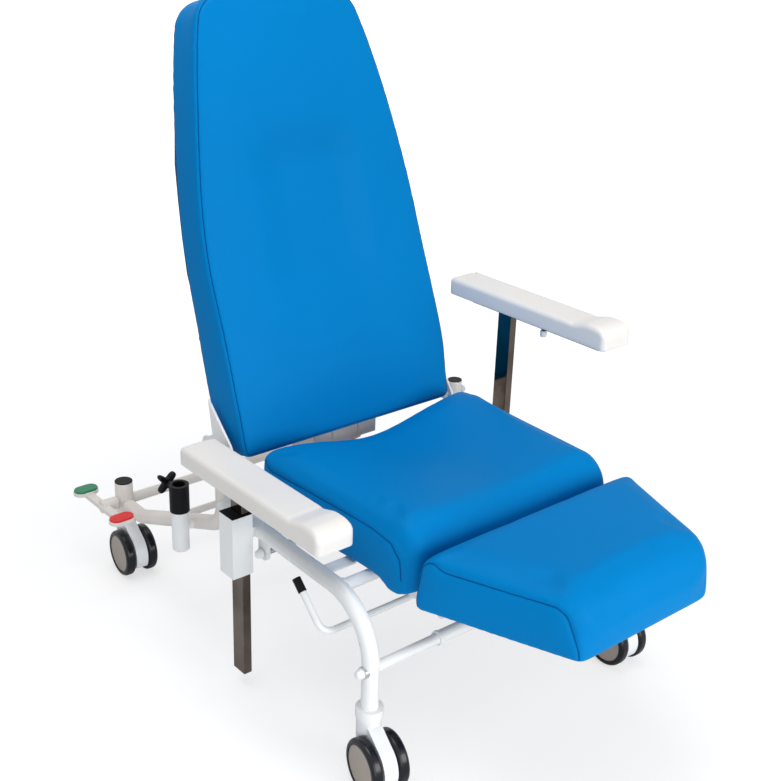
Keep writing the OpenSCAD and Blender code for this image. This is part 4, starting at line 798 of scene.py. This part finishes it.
def welds():
    slope = math.atan2(UPRIGHT_FOOT - LOW_RUN, FALL_END - HINGE_Y)
    brace_x = UPRIGHT_X - REAR_SPLAY * (BRACE_Y - HINGE_Y) / (HOUSING_Y - HINGE_Y)
    brace_z = UPRIGHT_FOOT - (BRACE_Y - HINGE_Y) * math.tan(slope)
    down = (0, math.cos(slope), -math.sin(slope))
    for side, hand in SIDES:
        inward, rail = (-side, 0, 0), (side * RAIL_SLOPE, -1, 0)
        # the welds on the rear tube and the brace take the painted shade and painted warm reflection
        saddle_weld(f"weld_rear_tube_{hand}", (side * HOUSING_X, HOUSING_Y, REAR_TUBE_Z), inward, CROSS_TUBE_R,
                    (0, 0, 1), HOUSING_R, paint_painted_warm_reflection)
        saddle_weld(f"weld_brace_{hand}", (side * brace_x, BRACE_Y, brace_z), inward, BRACE_R, down, TUBE_R,
                    paint_painted_warm_reflection)
        saddle_weld(f"weld_rail_{hand}", (side * UPRIGHT_X, HINGE_Y, RAIL_Z), rail, RAIL_END_R, (0, 0, 1),
                    TUBE_R)
        for y, where in SEAT_TUBES:
            saddle_weld(f"weld_seat_tube_{where}_{hand}", (side * rail_x(y), y, RAIL_Z), inward, CROSS_TUBE_R,
                        rail, TUBE_R)
    # the pole socket's weld takes the painted shade and painted warm reflection
    saddle_weld("weld_pole_socket", SOCKET_WELD, (-1, 0, 0), SOCKET_ARM_R, FALL_DIRECTION, TUBE_R, paint_painted_warm_reflection)


def bolt_caps():
    """Domed plastic caps over the bolt ends."""
    seats = [(LEG_X + LEG_BOLT_OUT, *LEG_BOLT), (rail_x(ANCHOR_BOLT[0]) + ANCHOR_BOLT_OUT, *ANCHOR_BOLT),
             (UPRIGHT_X + TUBE_R, *HINGE_BOLT)]
    caps = [turned("cap", BOLT_CAP, (side * x, y, z), (side, 0, 0), 32)
            for side, _ in SIDES for x, y, z in seats]
    finish_piece(joined(caps, "bolt_caps_form"), white_plastic, "root", "white_plastic", ["bolt_caps"])


def stud_caps():
    """Pale cap over the locking stud under each armrest."""
    for side, hand in SIDES:
        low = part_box(f"arm_plate_{hand}")[0].z
        cap = turned(f"stud_cap_{hand}", STUD_CAP, (side * STUD_X, STUD_Y, low - STUD_SINK), (0, 0, 1), 32)
        finish_piece(cap, white_plastic, f"arm_{hand}", "white_plastic")


def star_knob():
    """Four-armed clamping knob with rounded arms."""
    low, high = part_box("pole_knob")
    centre = (low + high) / 2
    turns = np.linspace(0, 2 * math.pi, KNOB_POINTS, endpoint=False)
    reach = KNOB_HUB + KNOB_ARM * np.abs(np.cos(2 * (turns + math.pi / 4))) ** KNOB_TAPER
    outline = np.column_stack([reach * np.cos(turns), reach * np.sin(turns)])
    near, far = high.y - KNOB_T, high.y

    def place(a, b, u, e):
        y = (far - KNOB_EDGE if u > 0 else near + KNOB_EDGE) + e if abs(u) == 1 else (near + far) / 2
        return np.column_stack([centre.x + a, np.full_like(a, y), centre.z + b])

    levels = edge_levels(-1.0, KNOB_EDGE) + [(0.0, 0.0, KNOB_WAIST)] + edge_levels(1.0, KNOB_EDGE)
    star = skin("star", boxed(outline, [(-0.0005, 0), (0.0005, 0)], levels, place, close=4))
    neck = turned("neck", KNOB_NECK, (centre.x, low.y + KNOB_NECK_IN, centre.z), (0, 1, 0), 32)
    stud = turned("stud", KNOB_STUD, (centre.x, low.y, centre.z), (0, 1, 0), 24)
    finish_piece(joined([star, neck, stud], "pole_knob_form"), black, "pole_screw", "black_plastic",
                 ["pole_knob"])


def pedal_pad(name, look, slot):
    """Soft pad with a rounded edge and fine ribs across it."""
    low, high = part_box(name)
    centre = (low + high) / 2
    half_l, half_w = (high.x - low.x) / 2, (high.y - low.y) / 2
    outline = rounded([(-half_l, -half_w, half_w), (half_l, -half_w, half_w), (half_l, half_w, half_w),
                       (-half_l, half_w, half_w)], step=0.0015)

    def place(a, b, u, e):
        z = (high.z - PEDAL_EDGE if u > 0 else low.z + PEDAL_LIFT) + e
        ribbed = u > 0 and e > PEDAL_EDGE * 0.99
        ribs = RIB_HEIGHT * np.sin(a * 2 * math.pi / RIB_PITCH) if ribbed else 0.0
        return np.column_stack([centre.x + a, centre.y + b, z + ribs + 0 * a])

    levels = [(-1.0, 0.0, 0.0)] + edge_levels(1.0, PEDAL_EDGE)
    rings = boxed(outline, [(-half_l + half_w, 0), (half_l - half_w, 0)], levels, place, close=10)
    finish_piece(skin(name + "_form", rings), look, "brake", slot, [name])


# Finishes of the CAD nodes, by what they are made of; the rear tubes, rocker, back frame and arm posts also
# carry painted shade and painted reflections in their colour

BROKEN = [
    (paint, "frame", ["front_cross_tube", "cross_tube_sleeve", "seat_cross_tubes", "frame_brackets",
                      "arm_sheaths", "hinge_plates", "legrest_bars", "pole_socket"]),
    # rear cross tube and brace: white paint with painted shade and a painted warm reflection
    (paint_painted_warm_reflection, "frame", ["rear_cross_tube", "rear_brace"]),
    (paint_painted_shade_brown_reflection, "frame", ["back_frame"]),
    # back frame: painted shade and a painted brown reflection over white paint
    (board, "board", ["seat_board", "back_board", "legrest_board"]),
    (black, "black_plastic", ["post_guides", "tube_plugs", "pole_sleeve", "lever_grip"]),
    # the arm posts carry the steel's painted dark brown reflection
    (chrome, "chrome", ["arm_post_left", "arm_post_right"]),
    (zinc, "steel", ["frame_bolts", "pivot_bolts"]),
    (black, "arm_plate", ["arm_plate_left", "arm_plate_right"]),
]
SHOWN = [
    (paint, ["side_rail_left", "side_rail_right", "release_lever"]),
    (zinc, ["spring_anchor", "caster_stems", "brake_shaft", "spring_rod"]),
    (spring_paint, ["spring_cylinder"]),
]


def repaint(name, look):
    """Gives a CAD node that stays its material."""
    materials = nodes[name].data.materials
    materials.clear()
    materials.append(look)


def clothe_frame():
    for look, slot, names in BROKEN:
        for name in names:
            dressed(name, look, slot)
    # the rocker takes the white paint's painted shade and painted warm reflection
    dressed("brake_rocker", paint_painted_warm_reflection, "rocker", BOLD_EDGE)
    for look, names in SHOWN:
        for name in names:
            repaint(name, look)


def casters():
    for name in CASTERS:
        dressed(f"{name}_body", white_plastic, "white_plastic", BOLD_EDGE)
        dressed(f"{name}_discs", disc_look, "disc")
        repaint(f"{name}_tyres", tyre_look)
        repaint(f"{name}_axle", zinc)


# Studio

def camera():
    data = bpy.data.cameras.new("camera")
    data.sensor_width = SENSOR
    data.lens = FOCAL_PX / IMAGE_W * SENSOR
    data.shift_x = (IMAGE_W / 2 - CENTRE_X) / IMAGE_W
    data.shift_y = (CENTRE_Y - IMAGE_H / 2) / IMAGE_W
    data.clip_end = VIEW_DEPTH
    heading, pitch, roll = (math.radians(a) for a in (HEADING, PITCH, ROLL))
    level = math.cos(pitch)
    ahead = Vector((-math.sin(heading) * level, math.cos(heading) * level, -math.sin(pitch)))
    right = Vector((math.cos(heading), math.sin(heading), 0))
    up = right.cross(ahead)
    across = math.cos(roll) * right + math.sin(roll) * up
    upward = -math.sin(roll) * right + math.cos(roll) * up
    obj = new_object("camera", data)
    obj.matrix_world = Matrix((across, upward, -ahead)).transposed().to_4x4()
    obj.location = EYE
    bpy.context.scene.camera = obj


def lamp(name, place, target, size, power, colour):
    data = bpy.data.lights.new(name, "AREA")
    data.size = size
    data.energy = power
    data.color = colour
    obj = new_object(name, data)
    obj.location = place
    obj.rotation_mode = "QUATERNION"
    obj.rotation_quaternion = (Vector(target) - Vector(place)).to_track_quat("-Z", "Y")


def backdrop():
    """Pale floor: white where a camera ray meets it, apart from the object's shadow."""
    mesh = bpy.data.meshes.new("floor")
    corners = [(x * FLOOR_REACH, y * FLOOR_REACH, 0) for x, y in ((-1, -1), (1, -1), (1, 1), (-1, 1))]
    mesh.from_pydata(corners, [], [(0, 1, 2, 3)])
    floor = new_object("floor", mesh)
    look, tree, shader = principled("floor")
    shader.inputs["Base Color"].default_value = FLOOR_COLOUR
    shader.inputs["Roughness"].default_value = FLOOR_ROUGH
    shader.inputs["Specular IOR Level"].default_value = FLOOR_GLOSS
    out = tree.nodes["Material Output"]
    ray = node(tree, "ShaderNodeLightPath")
    glow = node(tree, "ShaderNodeEmission", Color=(1, 1, 1, 1))
    place = node(tree, "ShaderNodeTexCoord")
    away = node(tree, "ShaderNodeVectorMath", operation="LENGTH")
    rise = node(tree, "ShaderNodeMapRange", **FLOOR_RISE)
    link(tree, place.outputs["Object"], away.inputs[0])
    link(tree, away.outputs["Value"], rise.inputs["Value"])
    link(tree, rise.outputs["Result"], glow.inputs["Strength"])
    both = node(tree, "ShaderNodeAddShader")
    pick = node(tree, "ShaderNodeMixShader")
    link(tree, shader.outputs["BSDF"], both.inputs[0])
    link(tree, glow.outputs["Emission"], both.inputs[1])
    link(tree, ray.outputs["Is Camera Ray"], pick.inputs["Fac"])
    link(tree, both.outputs["Shader"], pick.inputs[2])
    bounce = node(tree, "ShaderNodeBsdfDiffuse", Color=FLOOR_BOUNCE)
    link(tree, bounce.outputs["BSDF"], pick.inputs[1])
    link(tree, pick.outputs["Shader"], out.inputs["Surface"])
    mesh.materials.append(look)


def studio():
    """Even light, and a white world wherever a camera, glossy or transmission ray meets it."""
    scene = bpy.context.scene
    scene.view_settings.view_transform = "Standard"
    world = bpy.data.worlds.new("world")
    scene.world = world
    world.use_nodes = True
    tree = world.node_tree
    ground = tree.nodes["Background"]
    ground.inputs["Color"].default_value = WORLD_COLOUR
    ground.inputs["Strength"].default_value = WORLD_STRENGTH
    white = node(tree, "ShaderNodeBackground", Color=(1, 1, 1, 1), Strength=1.0)
    ray = node(tree, "ShaderNodeLightPath")
    pick = node(tree, "ShaderNodeMixShader")
    most = node(tree, "ShaderNodeMath", operation="MAXIMUM")
    seen = node(tree, "ShaderNodeMath", operation="MAXIMUM")
    link(tree, ray.outputs["Is Camera Ray"], most.inputs[0])
    link(tree, ray.outputs["Is Transmission Ray"], most.inputs[1])
    link(tree, most.outputs[0], seen.inputs[0])
    link(tree, ray.outputs["Is Glossy Ray"], seen.inputs[1])
    link(tree, seen.outputs[0], pick.inputs["Fac"])
    link(tree, ground.outputs["Background"], pick.inputs[1])
    link(tree, white.outputs["Background"], pick.inputs[2])
    link(tree, pick.outputs["Shader"], tree.nodes["World Output"].inputs["Surface"])
    for row in LAMPS:
        lamp(*row)


camera()
seat()
legrest()
back()
for side, hand in SIDES:
    arm_pad(side, f"arm_pad_{hand}")
for side, hand in SIDES:
    rear_leg(side, f"rear_leg_{hand}")
welds()
bolt_caps()
stud_caps()
star_knob()
pedal_pad("green_pad", green, "green")
pedal_pad("red_pad", red, "red")
clothe_frame()
casters()
backdrop()
studio()
